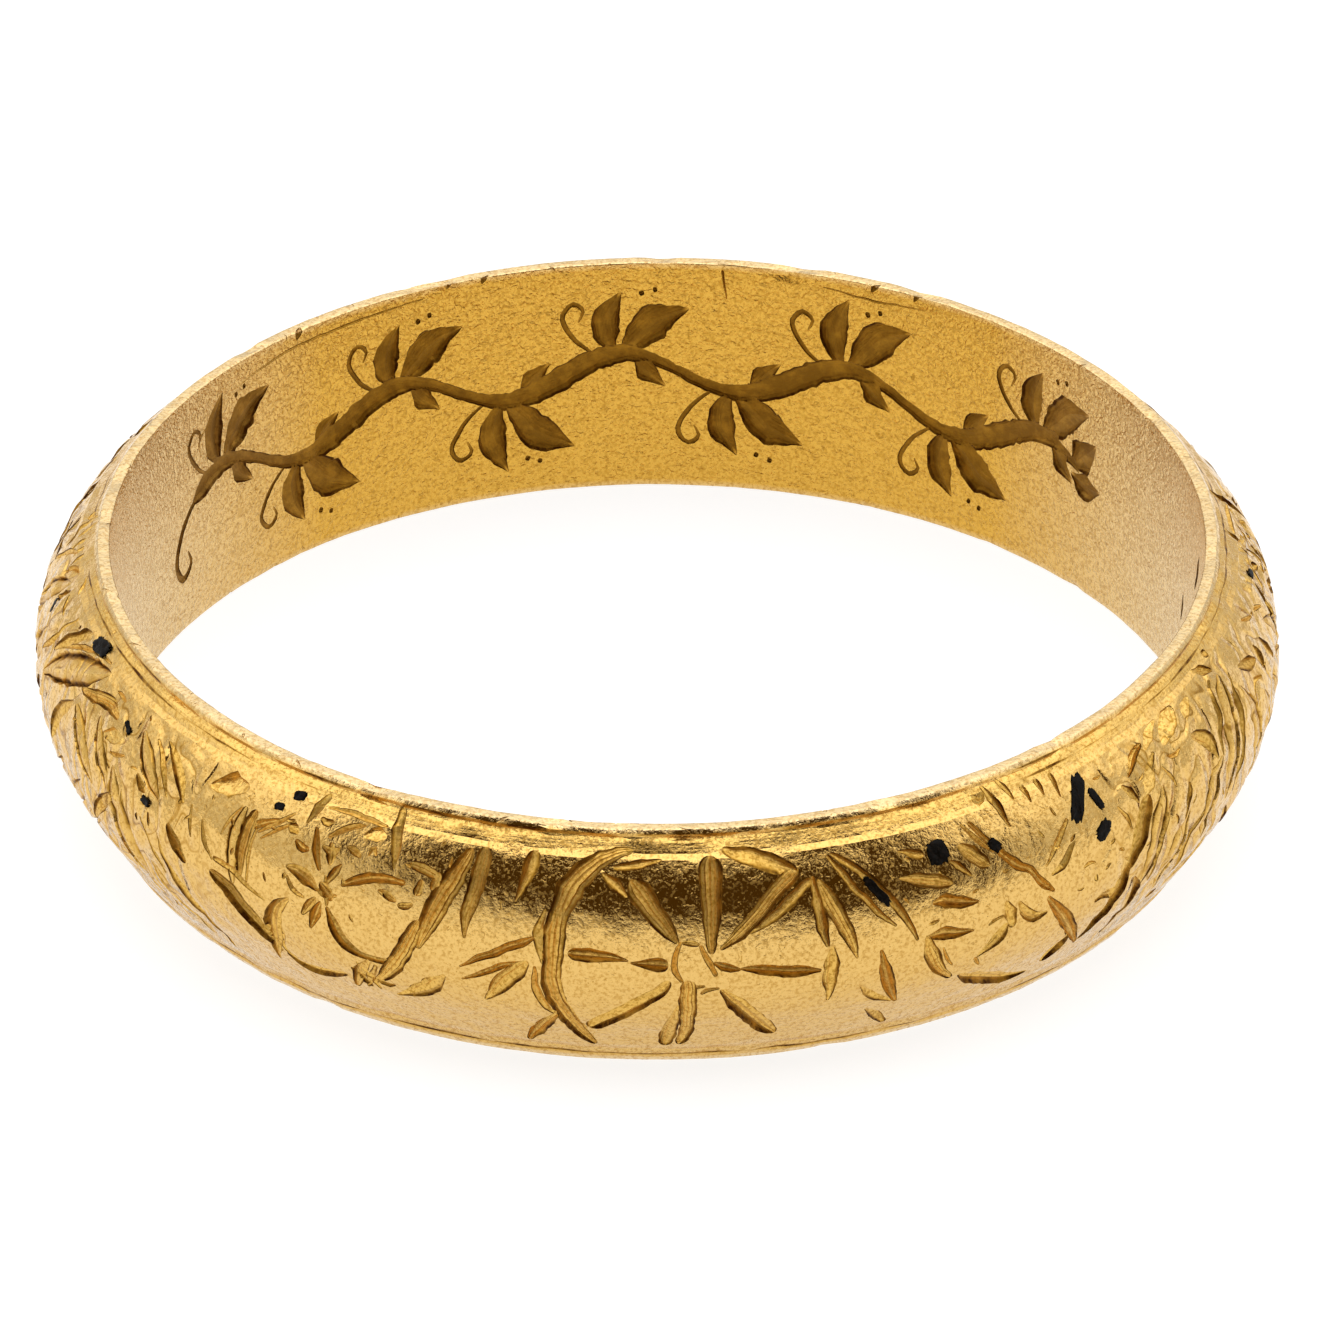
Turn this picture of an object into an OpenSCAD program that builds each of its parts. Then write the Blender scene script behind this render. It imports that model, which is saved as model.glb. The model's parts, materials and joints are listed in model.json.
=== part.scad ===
// Posy ring: a gold band with an engraved outside, lying on its side.
// The finger hole runs along Z and the lower rim stands on z = 0.
// The front, where the main flower is, faces -Y.

/* [Ring] */
// Diameter of the finger hole
inner_dia = 17.5; // [15:0.5:20]
// Height of the band along the finger
band_w = 4.3; // [4.2:0.1:4.6]
// Thickness of the band at its crown
crown_t = 1.28; // [1.2:0.02:1.5]
// Width of the flat rim at each edge
rim_t = 0.22; // [0.2:0.01:0.28]
// Radius of the rounded outside in section
crown_r = 2.2; // [2.1:0.05:2.4]
// Height of the crown as a share of the band's height
crown_share = 0.535; // [0.5:0.005:0.545]

/* [Engraving] */
// Depth of a cut for each mm of its width
cut_slope = 0.2; // [0.14:0.02:0.22]
// Depth of the cells that hold enamel
cell_depth = 0.07; // [0.06:0.01:0.09]
// Gap between a patch of enamel and its cell
cell_gap = 0.015; // [0.01:0.005:0.02]

/* [Hidden] */

$fa = 3;
$fs = 0.1;

bore_r = inner_dia / 2;
outer_r = bore_r + crown_t;

// section: an arc round (arc_x, arc_z) with a tangent line from it to each rim corner
arc_x = outer_r - crown_r;
arc_z = band_w * crown_share;
upper_turn = tangent_turn(band_w - arc_z);
lower_turn = tangent_turn(arc_z);

// turn from the crown at which the line to a rim corner, this far above or below it, leaves the arc
function tangent_turn(rise) =
    let (out = bore_r + rim_t - arc_x)
    atan2(rise, out) - acos(crown_r / norm([out, rise]));

// mm along the arc of the section for one degree of turn
arc_step = crown_r * PI / 180;
// mm round the crown for one degree
crown_step = outer_r * PI / 180;

// radius and height of the place s mm up the section from the crown and h mm above the metal
function section_at(s, h) =
    let (turn = max(-lower_turn, min(upper_turn, s / arc_step)),
         past = s - turn * arc_step)
    [arc_x + (crown_r + h) * cos(turn) - past * sin(turn),
     arc_z + (crown_r + h) * sin(turn) + past * cos(turn)];

// the same place at an angle round the ring, 0 at the front and + to the right
function outside_at(deg, s, h) =
    let (p = section_at(s, h))
    [p[0] * sin(deg), -p[0] * cos(deg), p[1]];

// border grooves: mm up the section, half the width and the depth
groove_s = 0;
groove_half = 1;
groove_d = 2;
grooves = [
    [2.0, 0.17, 0.07],
    [-2.22, 0.15, 0.05],
];

// cuts: where each starts and ends (degrees from the motif's centre, mm up the section),
// its full width, and how far its middle bows to the left of its run
from_deg = 0;
from_s = 1;
to_deg = 2;
to_s = 3;
cut_w = 4;
cut_bow = 5;

// eight petals, the wreath round them and a leaf at each side
rosette = [
    [1.6, 0.62, 1.6, 1.79, 0.32, 0],
    [2.4, 0.36, 10.2, 1.34, 0.36, 0.03],
    [4.2, 0.02, 11.3, -0.14, 0.22, 0],
    [2.5, -0.42, 7.6, -1.62, 0.34, 0.06],
    [-0.7, -0.24, -1.6, -1.96, 0.4, 0],
    [-2.5, -0.26, -8.6, -1.42, 0.34, 0],
    [-11.2, 0.22, -2.2, 0.16, 0.2, 0],
    [-1.5, 0.56, -6.6, 1.42, 0.4, 0],
    [-6.4, 1.7, -11.4, 0.98, 0.26, -0.1],
    [-12.7, 0.84, -12.8, -0.28, 0.34, 0],
    [-12.7, -0.48, -9.9, -1.9, 0.34, -0.08],
    [11.6, 1.14, 12.2, -0.36, 0.24, 0.03],
    [13.7, 1.72, 20.6, 0.14, 0.16, 0.2],
    [-15.6, 0.0, -19.1, -0.82, 0.3, 0.03],
];

// frame of leaves between two rosettes, with a small flower in it
lozenge = [
    [13.2, 1.66, 10.4, 0.5, 0.36, 0],
    [9.9, 0.34, 7.0, -0.78, 0.34, 0],
    [12.8, -0.56, 7.4, -1.28, 0.3, -0.03],
    [1.4, 0.66, 0.2, 0.94, 0.22, 0],
    [-0.4, 0.24, -0.7, -0.26, 0.2, 0],
    [-1.4, 0.3, -3.4, 0.64, 0.2, 0],
    [-7.9, 1.2, -8.0, 0.2, 0.26, 0],
    [-12.4, 0.1, -6.2, -0.68, 0.36, 0.03],
    [-4.2, -1.16, 2.6, -1.22, 0.2, -0.16],
];

// the other kind of frame, crossed by a long stem
crossed_lozenge = [
    [-11.6, 0.05, -8.6, -0.95, 0.28, 0],
    [-10.6, 0.64, -6.4, 0.46, 0.16, 0],
    [-6.6, 1.4, -4.4, 0.78, 0.28, 0],
    [-5.2, 1.72, 0.6, 0.4, 0.2, -0.04],
    [1.6, 0.1, 7.2, -1.4, 0.26, 0.04],
    [1.6, 0.66, 4.0, 0.96, 0.18, 0],
    [-3.4, -0.16, -6.1, -0.56, 0.26, 0],
    [-7.2, -1.1, 3.2, -1.62, 0.28, -0.16],
    [15.1, 0.76, 11.9, 0.06, 0.34, 0],
];

// where each motif stands: its centre, its stretch round the ring, and -1 where it is turned over
place_deg = 0;
place_stretch = 1;
place_side = 2;
rosette_places = [
    [3.3, 1, 1],
    [66.5, 0.94, 1],
    [123.6, 0.88, -1],
    [180.8, 0.88, 1],
    [237.9, 0.88, -1],
    [295, 0.94, 1],
];
lozenge_places = [
    [-32.4, 1, 1],
    [95, 0.86, 1],
    [209.4, 0.86, 1],
];
crossed_places = [
    [36.4, 1, 1],
    [152.2, 0.86, 1],
    [266.4, 0.86, 1],
];

// patches of black enamel: where they lie (degrees, mm up the section), length, width, turn from level
patch_deg = 0;
patch_s = 1;
patch_l = 2;
patch_w = 3;
patch_turn = 4;
patches = [
    [-72, 1.84, 0.6, 0.3, 8],
    [-60.5, 1.35, 0.3, 0.13, -31],
    [-54.4, 0.54, 0.26, 0.16, -10],
    [-38.6, 1.58, 0.22, 0.14, 10],
    [-37, 1.86, 0.26, 0.18, 10],
    [20.5, 1.01, 0.66, 0.18, -54],
    [27.1, 1.39, 0.4, 0.43, 3],
    [33, 1.23, 0.28, 0.2, -50],
    [43.5, 1.42, 0.9, 0.3, 57],
    [45.5, 1.27, 0.44, 0.17, -72],
    [45.2, 0.75, 0.42, 0.27, 35],
    [88.8, 1.5, 0.3, 0.14, 0],
    [144.2, 1.4, 0.3, 0.3, 0],
    [158, 1.38, 0.5, 0.2, 50],
    [203.2, 1.52, 0.26, 0.16, -10],
    [274.6, 1.2, 0.3, 0.16, -65],
];

// how high a cutter's open top and its tips stand above the metal
top_h = 0.08;
tip_h = 0.015;
// longest straight stretch of a cutter
cut_step = 0.6;

// share of a cut's full width left at a share t of its run
function taper(t) = pow(max(0, sin(180 * t)), 0.7);

// one graver's cut: a V that starts and ends at nothing
module cut(row, place) {
    start = [row[from_deg] * crown_step * place[place_stretch], row[from_s]];
    end = [row[to_deg] * crown_step * place[place_stretch], row[to_s]];
    run = end - start;
    left = [-run[1], run[0]] / norm(run);
    steps = max(3, ceil(norm(run) / cut_step));
    depth = row[cut_w] * cut_slope;
    function spot(t, aside, h) =
        let (p = start + run * t + left * (row[cut_bow] * 4 * t * (1 - t) + aside))
        outside_at(place[place_deg] + place[place_side] * p[0] / crown_step, p[1], h);
    points = [
        for (i = [0:steps])
            let (t = i / steps,
                 low = tip_h - (depth + tip_h) * taper(t),
                 half = (top_h - low) / cut_slope / 2)
            each [spot(t, half, top_h), spot(t, -half, top_h), spot(t, 0, low)]
    ];
    sides = [
        for (i = [0:steps - 1], k = [0:2])
            let (a = 3 * i + k, b = 3 * i + (k + 1) % 3)
            each [[a, b, b + 3], [a, b + 3, a + 3]]
    ];
    last = 3 * steps;
    faces = concat(sides, [[0, 2, 1], [last, last + 1, last + 2]]);
    polyhedron(points, place[place_side] > 0 ? faces : [for (f = faces) [f[2], f[1], f[0]]]);
}

// sides of the outline of a patch
patch_sides = 8;
// roundness of that outline: 1 is an ellipse, near 0 a rectangle
patch_round = 0.6;

// block with the outline of a patch, grown by this much, from low to high above the metal
module patch_block(row, grow, low, high) {
    function part(x) = sign(x) * pow(abs(x), patch_round);
    function spot(i, h) =
        let (turn = (i + 0.5) * 360 / patch_sides,
             x = (row[patch_l] / 2 + grow) * part(cos(turn)),
             y = (row[patch_w] / 2 + grow) * part(sin(turn)),
             c = cos(row[patch_turn]),
             s = sin(row[patch_turn]))
        outside_at(row[patch_deg] + (x * c - y * s) / crown_step, row[patch_s] + x * s + y * c, h);
    n = patch_sides;
    points = [for (h = [low, high], i = [0:n - 1]) spot(i, h)];
    sides = [
        for (i = [0:n - 1])
            let (j = (i + 1) % n)
            each [[i, i + n, j + n], [i, j + n, j]]
    ];
    floors = [for (i = [1:n - 2]) each [[0, i, i + 1], [n, n + i + 1, n + i]]];
    polyhedron(points, concat(sides, floors));
}

// half section of the band: flat inside, rounded outside, with the border grooves
module section() {
    top = section_at(upper_turn * arc_step, 0);
    low = section_at(-lower_turn * arc_step, 0);
    difference() {
        union() {
            polygon([[bore_r, 0], [bore_r + rim_t, 0], low, top, [bore_r + rim_t, band_w], [bore_r, band_w]]);
            intersection() {
                translate([arc_x, arc_z]) circle(crown_r);
                polygon([low, [low[0] + crown_r, low[1]], [top[0] + crown_r, top[1]], top]);
            }
        }
        for (g = grooves)
            polygon([
                section_at(g[groove_s] - 2 * g[groove_half], g[groove_d]),
                section_at(g[groove_s], -g[groove_d]),
                section_at(g[groove_s] + 2 * g[groove_half], g[groove_d]),
            ]);
    }
}

module band() {
    color("goldenrod")
    difference() {
        rotate_extrude($fn = 180) section();
        for (place = rosette_places, row = rosette) cut(row, place);
        for (place = lozenge_places, row = lozenge) cut(row, place);
        for (place = crossed_places, row = crossed_lozenge) cut(row, place);
        for (row = patches) patch_block(row, 0, -cell_depth, top_h);
    }
}

module enamel() {
    color("black")
    for (row = patches) patch_block(row, -cell_gap, cell_gap - cell_depth, -cell_gap);
}

band();
enamel();
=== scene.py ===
# Posy ring: a worn 22-carat gold band with an engraved outside, lying on its side on a pale light table.
import json
import math
import random
from functools import partial

import bmesh
import bpy
import numpy as np
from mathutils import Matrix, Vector, noise
from mathutils.geometry import delaunay_2d_cdt


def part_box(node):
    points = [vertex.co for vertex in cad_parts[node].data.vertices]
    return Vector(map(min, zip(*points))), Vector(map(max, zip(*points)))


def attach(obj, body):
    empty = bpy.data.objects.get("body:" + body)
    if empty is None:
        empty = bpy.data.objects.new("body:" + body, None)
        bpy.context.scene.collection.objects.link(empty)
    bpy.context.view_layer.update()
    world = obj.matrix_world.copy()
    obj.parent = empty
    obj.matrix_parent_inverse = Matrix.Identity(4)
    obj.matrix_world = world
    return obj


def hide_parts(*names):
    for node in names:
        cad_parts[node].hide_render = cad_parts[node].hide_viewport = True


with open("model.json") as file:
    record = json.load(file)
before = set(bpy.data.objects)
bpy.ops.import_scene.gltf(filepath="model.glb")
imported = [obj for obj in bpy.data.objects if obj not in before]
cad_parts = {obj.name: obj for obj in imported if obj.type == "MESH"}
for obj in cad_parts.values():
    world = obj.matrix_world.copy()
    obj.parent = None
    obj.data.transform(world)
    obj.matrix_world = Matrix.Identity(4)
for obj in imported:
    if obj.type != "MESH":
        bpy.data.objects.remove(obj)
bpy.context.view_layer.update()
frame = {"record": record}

mm = 0.001  # metres in a millimetre

# Sizes of the band in mm. The hole and the height are the finger mount's, the outside is the CAD box's.
fingerMount = next(m for m in frame["record"]["mounts"] if m["name"] == "finger_bore")
bandLow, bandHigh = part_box("band")
band = {
    "boreRadius": fingerMount["dims"]["r_mm"],
    "height": fingerMount["dims"]["length_mm"],
    "outerRadius": (bandHigh[0] - bandLow[0]) / 2 / mm,
    "rimWidth": 0.22,
    "crownRadius": 2.2,
    "crownShare": 0.535,  # height of the crown as a share of the band's
    "outerEdgeRound": 0.05,
    "innerEdgeRound": 0.05,
    "columns": 300,
    "waver": 0.02,
    "dent": 0.03,
    "smallDent": 0.012,
    "rimWear": 0.01,
    "rimBite": 0.09,
    "relief": 0.055,
    "groundLow": -2.0,  # the engraved ground lies between these, in mm up the section
    "groundHigh": 1.82,
    "chasedFrom": 40,  # degrees to each side where its hollows start, and over which they come in
    "chasedOver": 12,
    "borderFinish": 0.35,  # share of the graver's finish that a border's floor and a light cut show
    "lightCutFinish": 0.45,
    "lightCutWall": 0.84,
}


# Section of the band, in mm
def sectionPieces():
    # A convex loop of straight lines and rounded corners: the crown, then over the top rim and down inside.
    inner = band["boreRadius"]
    rimOut = inner + band["rimWidth"]
    height = band["height"]
    crownZ = height * band["crownShare"]
    radius = band["crownRadius"]
    arcR = band["outerRadius"] - radius

    def turnTo(rise):
        out = rimOut - arcR
        return math.atan2(rise, out) - math.acos(radius / math.hypot(out, rise))

    up = turnTo(height - crownZ)
    down = turnTo(crownZ)
    quarter = math.pi / 2
    outer = band["outerEdgeRound"]
    innerEdge = band["innerEdgeRound"]
    cutTop = outer * math.tan((quarter - up) / 2)
    cutLow = outer * math.tan((quarter - down) / 2)
    rise = height - crownZ
    topLine = math.hypot(rimOut - arcR - radius * math.cos(up), rise - radius * math.sin(up)) - cutTop
    lowLine = math.hypot(rimOut - arcR - radius * math.cos(down), radius * math.sin(down) - crownZ) - cutLow
    # length and turn of each piece, from the crown round
    return [
        (radius * up, up),
        (topLine, 0),
        (outer * (quarter - up), quarter - up),
        (band["rimWidth"] - cutTop - innerEdge, 0),
        (innerEdge * quarter, quarter),
        (height - 2 * innerEdge, 0),
        (innerEdge * quarter, quarter),
        (band["rimWidth"] - cutLow - innerEdge, 0),
        (outer * (quarter - down), quarter - down),
        (lowLine, 0),
        (radius * down, down),
    ]


def sectionWalk(pieces):
    # start length, length, bend, radius, height and turn of each piece
    rows = []
    r, z, turn, length = band["outerRadius"], band["height"] * band["crownShare"], 0.0, 0.0
    for size, bend in pieces:
        rows.append((length, size, bend, r, z, turn))
        if bend:
            curve = size / bend
            r += curve * (math.cos(turn + bend) - math.cos(turn))
            z += curve * (math.sin(turn + bend) - math.sin(turn))
        else:
            r -= size * math.sin(turn)
            z += size * math.cos(turn)
        turn += bend
        length += size
    return rows, length


sectionRows, sectionLength = sectionWalk(sectionPieces())
topEnd = sectionRows[2][0]  # where the outside meets the top rim's rounding
innerTop = sectionRows[5][0]  # where the inside wall starts
innerLow = sectionRows[6][0]
seamS = sectionRows[7][0] + sectionRows[7][1] / 2 - sectionLength  # middle of the lower rim
crownStep = band["outerRadius"] * math.pi / 180  # mm round the crown for one degree
halfTurn = math.pi * band["outerRadius"]


def sectionAt(s):
    # radius, height and outward normal of places s mm round the section from the crown
    s = np.mod(np.asarray(s, float), sectionLength)
    starts = np.array([row[0] for row in sectionRows])
    which = np.clip(np.searchsorted(starts, s, side="right") - 1, 0, len(starts) - 1)
    length, size, bend, r, z, turn = (np.array([row[k] for row in sectionRows])[which] for k in range(6))
    along = s - length
    angle = turn + np.where(bend > 0, along * bend / size, 0)
    curve = np.where(bend > 0, size / np.where(bend > 0, bend, 1), 0)
    straight = np.where(bend > 0, 0, along)
    rr = r + curve * (np.cos(angle) - np.cos(turn)) - straight * np.sin(turn)
    zz = z + curve * (np.sin(angle) - np.sin(turn)) + straight * np.cos(turn)
    return rr, zz, np.cos(angle), np.sin(angle)


def placeOnBand(x, s, lift):
    # metres in the frame, for x mm round the crown, s mm round the section and lift mm off the metal
    r, z, nr, nz = sectionAt(s)
    angle = np.asarray(x) / band["outerRadius"]
    r = r + nr * lift
    return np.stack((r * np.sin(angle), -r * np.cos(angle), z + nz * lift), axis=-1) * mm


def bandNoise(x, s, scale, seed):
    # smooth noise on the band's surface, in cycles for each mm, the same at both ends of a turn
    spot = placeOnBand(x, s, 0.0) / mm
    return noise.noise(Vector((spot[0] * scale + seed, spot[1] * scale, spot[2] * scale)))


# Engraving. Steps are the mesh's along a cut; a cut is a little wider than its chart says, and its edge
# and its run are rough. In mm, or as shares of the width.
graver = {
    "step": 0.085,
    "stepBehind": 0.13,
    "widened": 1.12,
    "roughEdge": 0.2,
    "stray": 0.02,
    "deepest": 0.1,
}

# Each cut's cross section is pairs of a place across it, from -1 at its right to 1 at its left, and the
# share of its depth there; slope is its depth for each mm of its width.
cutKinds = {
    "line": {"slope": 0.45, "across": ((-1, 0), (0, 1), (1, 0))},
    "leaf": {"slope": 0.44, "across": ((-1, 0), (0.3, 0.72), (0.72, 1), (1, 0))},
    "lens": {"slope": 0.4, "across": ((-1, 0), (-0.62, 1), (0.02, 0.2), (0.55, 0.85), (1, 0))},
    "flute": {
        "slope": 0.25,
        "across": (
            (-1, 0), (-0.8, 1), (-0.5, 0.66), (-0.4, 0.9), (-0.08, 0.6),
            (0.04, 0.88), (0.4, 0.56), (0.5, 0.86), (0.82, 0.95), (1, 0),
        ),
    },
    "petal": {
        "slope": 0.3,
        "across": ((-1, 0), (-0.78, 1), (-0.3, 0.6), (-0.15, 0.8), (0.35, 0.38), (0.8, 0.5), (1, 0)),
    },
    "gouge": {"slope": 0.38, "across": ((-1, 0), (-0.72, 0.95), (-0.1, 0.72), (0.1, 1), (0.75, 0.9), (1, 0))},
    "stem": {"slope": 0.34, "across": ((-1, 0), (-0.66, 0.9), (0.1, 1), (0.66, 0.85), (1, 0))},
    "vineLeaf": {"slope": 0.2, "across": ((-1, 0), (-0.7, 1), (0, 0.5), (0.7, 0.95), (1, 0))},
    "ridge": {
        "slope": 0.16,
        "across": ((-1, 0), (-0.84, 1), (-0.6, 0.35), (-0.1, 0.02), (0.5, 0.25), (0.84, 0.9), (1, 0)),
    },
    # a facet takes little tarnish and painted shade
    "facet": {"slope": 0.27, "across": ((-1, 0), (-0.2, 0.42), (0.74, 1), (1, 0)), "tarnish": 0.12},
    "nick": {"slope": 0.45, "across": ((-1, 0), (-0.3, 1), (0.4, 0.7), (1, 0))},
}

# Charts of the cuts: kind, then marks along the cut (degrees round the ring with 0 at the front and
# + to the right, mm up the section from the crown, full width in mm), as they stand at the front.
rosette = (
    # petals, from the top one round to the right
    ("flute", (4.9, 0.3, 0.1), (4.9, 0.75, 0.24), (4.95, 1.25, 0.33), (5.0, 1.75, 0.36), (5.1, 1.9, 0.3)),
    (
        "flute",
        (5.6, 0.38, 0.06), (7.4, 0.62, 0.2), (9.2, 0.92, 0.22), (11.2, 1.28, 0.26), (13.3, 1.56, 0.2),
    ),
    ("leaf", (8.4, 0.62, 0.03), (10.4, 0.83, 0.15), (12.4, 1.1, 0.2), (14.4, 1.38, 0.12)),
    ("lens", (5.0, 0.16, 0.05), (6.2, 0.05, 0.18), (7.5, 0.0, 0.04)),
    (
        "lens",
        (7.4, 0.02, 0.03), (9.2, -0.02, 0.18), (11.4, -0.1, 0.22), (13.2, -0.14, 0.19), (14.8, -0.17, 0.05),
    ),
    (
        "petal",
        (5.7, -0.36, 0.08), (7.1, -0.7, 0.27), (8.7, -1.12, 0.32), (10.0, -1.5, 0.32), (11.2, -1.78, 0.14),
    ),
    (
        "flute",
        (2.75, -0.16, 0.22), (2.75, -0.6, 0.26), (2.75, -1.1, 0.24), (2.6, -1.6, 0.22), (2.0, -1.98, 0.16),
    ),
    ("petal", (1.9, -0.7, 0.03), (1.4, -1.15, 0.2), (1.0, -1.6, 0.26), (0.7, -2.02, 0.2)),
    (
        "flute",
        (1.0, -0.16, 0.14), (0.0, -0.42, 0.22), (-1.6, -0.64, 0.26),
        (-3.3, -0.9, 0.27), (-4.9, -1.16, 0.3), (-6.4, -1.44, 0.3),
    ),
    ("lens", (-2.4, 0.17, 0.03), (-0.9, 0.15, 0.17), (1.0, 0.13, 0.3)),
    ("lens", (-2.6, 0.2, 0.03), (-4.4, 0.26, 0.17), (-6.4, 0.27, 0.23), (-8.1, 0.28, 0.18)),
    (
        "flute",
        (1.9, 0.5, 0.06), (0.9, 0.72, 0.24), (-0.4, 1.02, 0.32), (-1.7, 1.34, 0.36), (-2.5, 1.52, 0.26),
    ),
    # round the hub
    ("line", (2.2, 0.54, 0.04), (1.6, 0.3, 0.09), (1.6, 0.0, 0.1), (2.3, -0.2, 0.05)),
    ("line", (2.2, -0.2, 0.04), (3.2, -0.3, 0.09), (4.3, -0.28, 0.04)),
    ("gouge", (2.2, 0.52, 0.06), (3.0, 0.5, 0.1), (3.7, 0.46, 0.05)),
    ("line", (3.8, 0.46, 0.05), (4.5, 0.2, 0.1), (5.3, -0.1, 0.07)),
    ("line", (3.9, -0.46, 0.05), (4.3, -0.38, 0.09), (5.6, -0.33, 0.04)),
    # wreath at the left
    ("flute", (-2.4, 2.0, 0.1), (-4.6, 1.9, 0.22), (-6.4, 1.7, 0.34), (-8.2, 1.3, 0.4), (-9.3, 0.7, 0.24)),
    (
        "flute",
        (-8.9, 1.14, 0.2), (-9.3, 0.6, 0.36), (-9.4, 0.1, 0.3), (-9.5, -0.3, 0.3), (-9.1, -0.66, 0.3),
        (-8.5, -1.0, 0.3), (-7.7, -1.4, 0.28), (-6.9, -1.75, 0.24), (-6.0, -2.02, 0.12),
    ),
    ("leaf", (-10.3, 0.98, 0.04), (-10.8, 0.55, 0.17), (-10.3, 0.05, 0.05)),
    ("line", (-11.1, 0.0, 0.05), (-11.0, -0.45, 0.14), (-10.2, -0.85, 0.13), (-9.2, -1.08, 0.06)),
    ("leaf", (-5.2, 1.62, 0.06), (-4.0, 1.44, 0.2), (-2.8, 1.24, 0.05)),
    ("leaf", (-4.2, 1.7, 0.08), (-1.8, 1.76, 0.16), (0.4, 1.84, 0.04)),
    ("lens", (-9.0, -1.02, 0.08), (-10.4, -1.36, 0.22), (-11.6, -1.76, 0.24), (-12.5, -2.06, 0.08)),
    # wreath at the right
    ("leaf", (6.2, 1.97, 0.1), (8.6, 1.86, 0.28), (11.0, 1.68, 0.3), (13.2, 1.5, 0.18)),
    ("leaf", (14.5, 1.42, 0.05), (14.7, 1.0, 0.2), (15.0, 0.6, 0.2), (15.4, 0.24, 0.06)),
    (
        "flute",
        (15.0, 1.36, 0.06), (15.9, 1.0, 0.27), (16.9, 0.6, 0.26), (17.6, 0.26, 0.18), (18.15, -0.06, 0.03),
    ),
    ("petal", (15.8, 0.24, 0.05), (15.75, -0.06, 0.25), (15.65, -0.42, 0.22), (15.7, -0.88, 0.04)),
    # twin leaves at the right, and the small ones under them
    (
        "leaf",
        (16.2, 1.72, 0.06), (17.4, 1.4, 0.13), (18.8, 1.02, 0.13), (20.4, 0.66, 0.1), (22.0, 0.38, 0.04),
    ),
    (
        "leaf",
        (16.6, 1.74, 0.08), (18.6, 1.46, 0.14), (20.6, 1.07, 0.15), (22.4, 0.64, 0.15), (24.0, 0.06, 0.05),
    ),
    ("lens", (20.4, 0.02, 0.04), (20.9, -0.4, 0.2), (21.6, -0.82, 0.22), (22.7, -1.32, 0.05)),
    ("leaf", (18.6, -0.64, 0.04), (19.7, -0.92, 0.16), (20.9, -1.1, 0.14), (22.2, -1.26, 0.04)),
    ("leaf", (19.8, -1.4, 0.04), (21.2, -1.7, 0.2), (22.6, -2.06, 0.1)),
    # leaves at the left
    (
        "lens",
        (-18.0, -0.2, 0.03), (-16.0, 0.03, 0.12), (-14.0, 0.23, 0.14), (-12.2, 0.4, 0.14),
        (-11.1, 0.5, 0.05),
    ),
    ("lens", (-17.9, -0.45, 0.03), (-16.2, -0.3, 0.1), (-14.2, -0.08, 0.12), (-11.6, 0.06, 0.06)),
    ("petal", (-11.6, 0.08, 0.1), (-13.0, -0.2, 0.3), (-14.4, -0.5, 0.28), (-15.8, -0.86, 0.04)),
    ("leaf", (-13.1, 1.04, 0.03), (-12.4, 1.4, 0.18), (-11.7, 1.88, 0.3)),
    ("flute", (-17.6, 0.33, 0.04), (-17.5, 0.75, 0.2), (-16.9, 1.2, 0.27), (-16.6, 1.84, 0.2)),
    (
        "flute",
        (-17.9, 1.78, 0.12), (-19.0, 1.32, 0.34), (-20.0, 0.95, 0.36), (-21.0, 0.5, 0.32), (-22.0, 0.0, 0.1),
    ),
    ("petal", (-19.4, -0.43, 0.05), (-20.8, -0.72, 0.3), (-22.4, -0.98, 0.3), (-24.9, -1.27, 0.04)),
)
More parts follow.
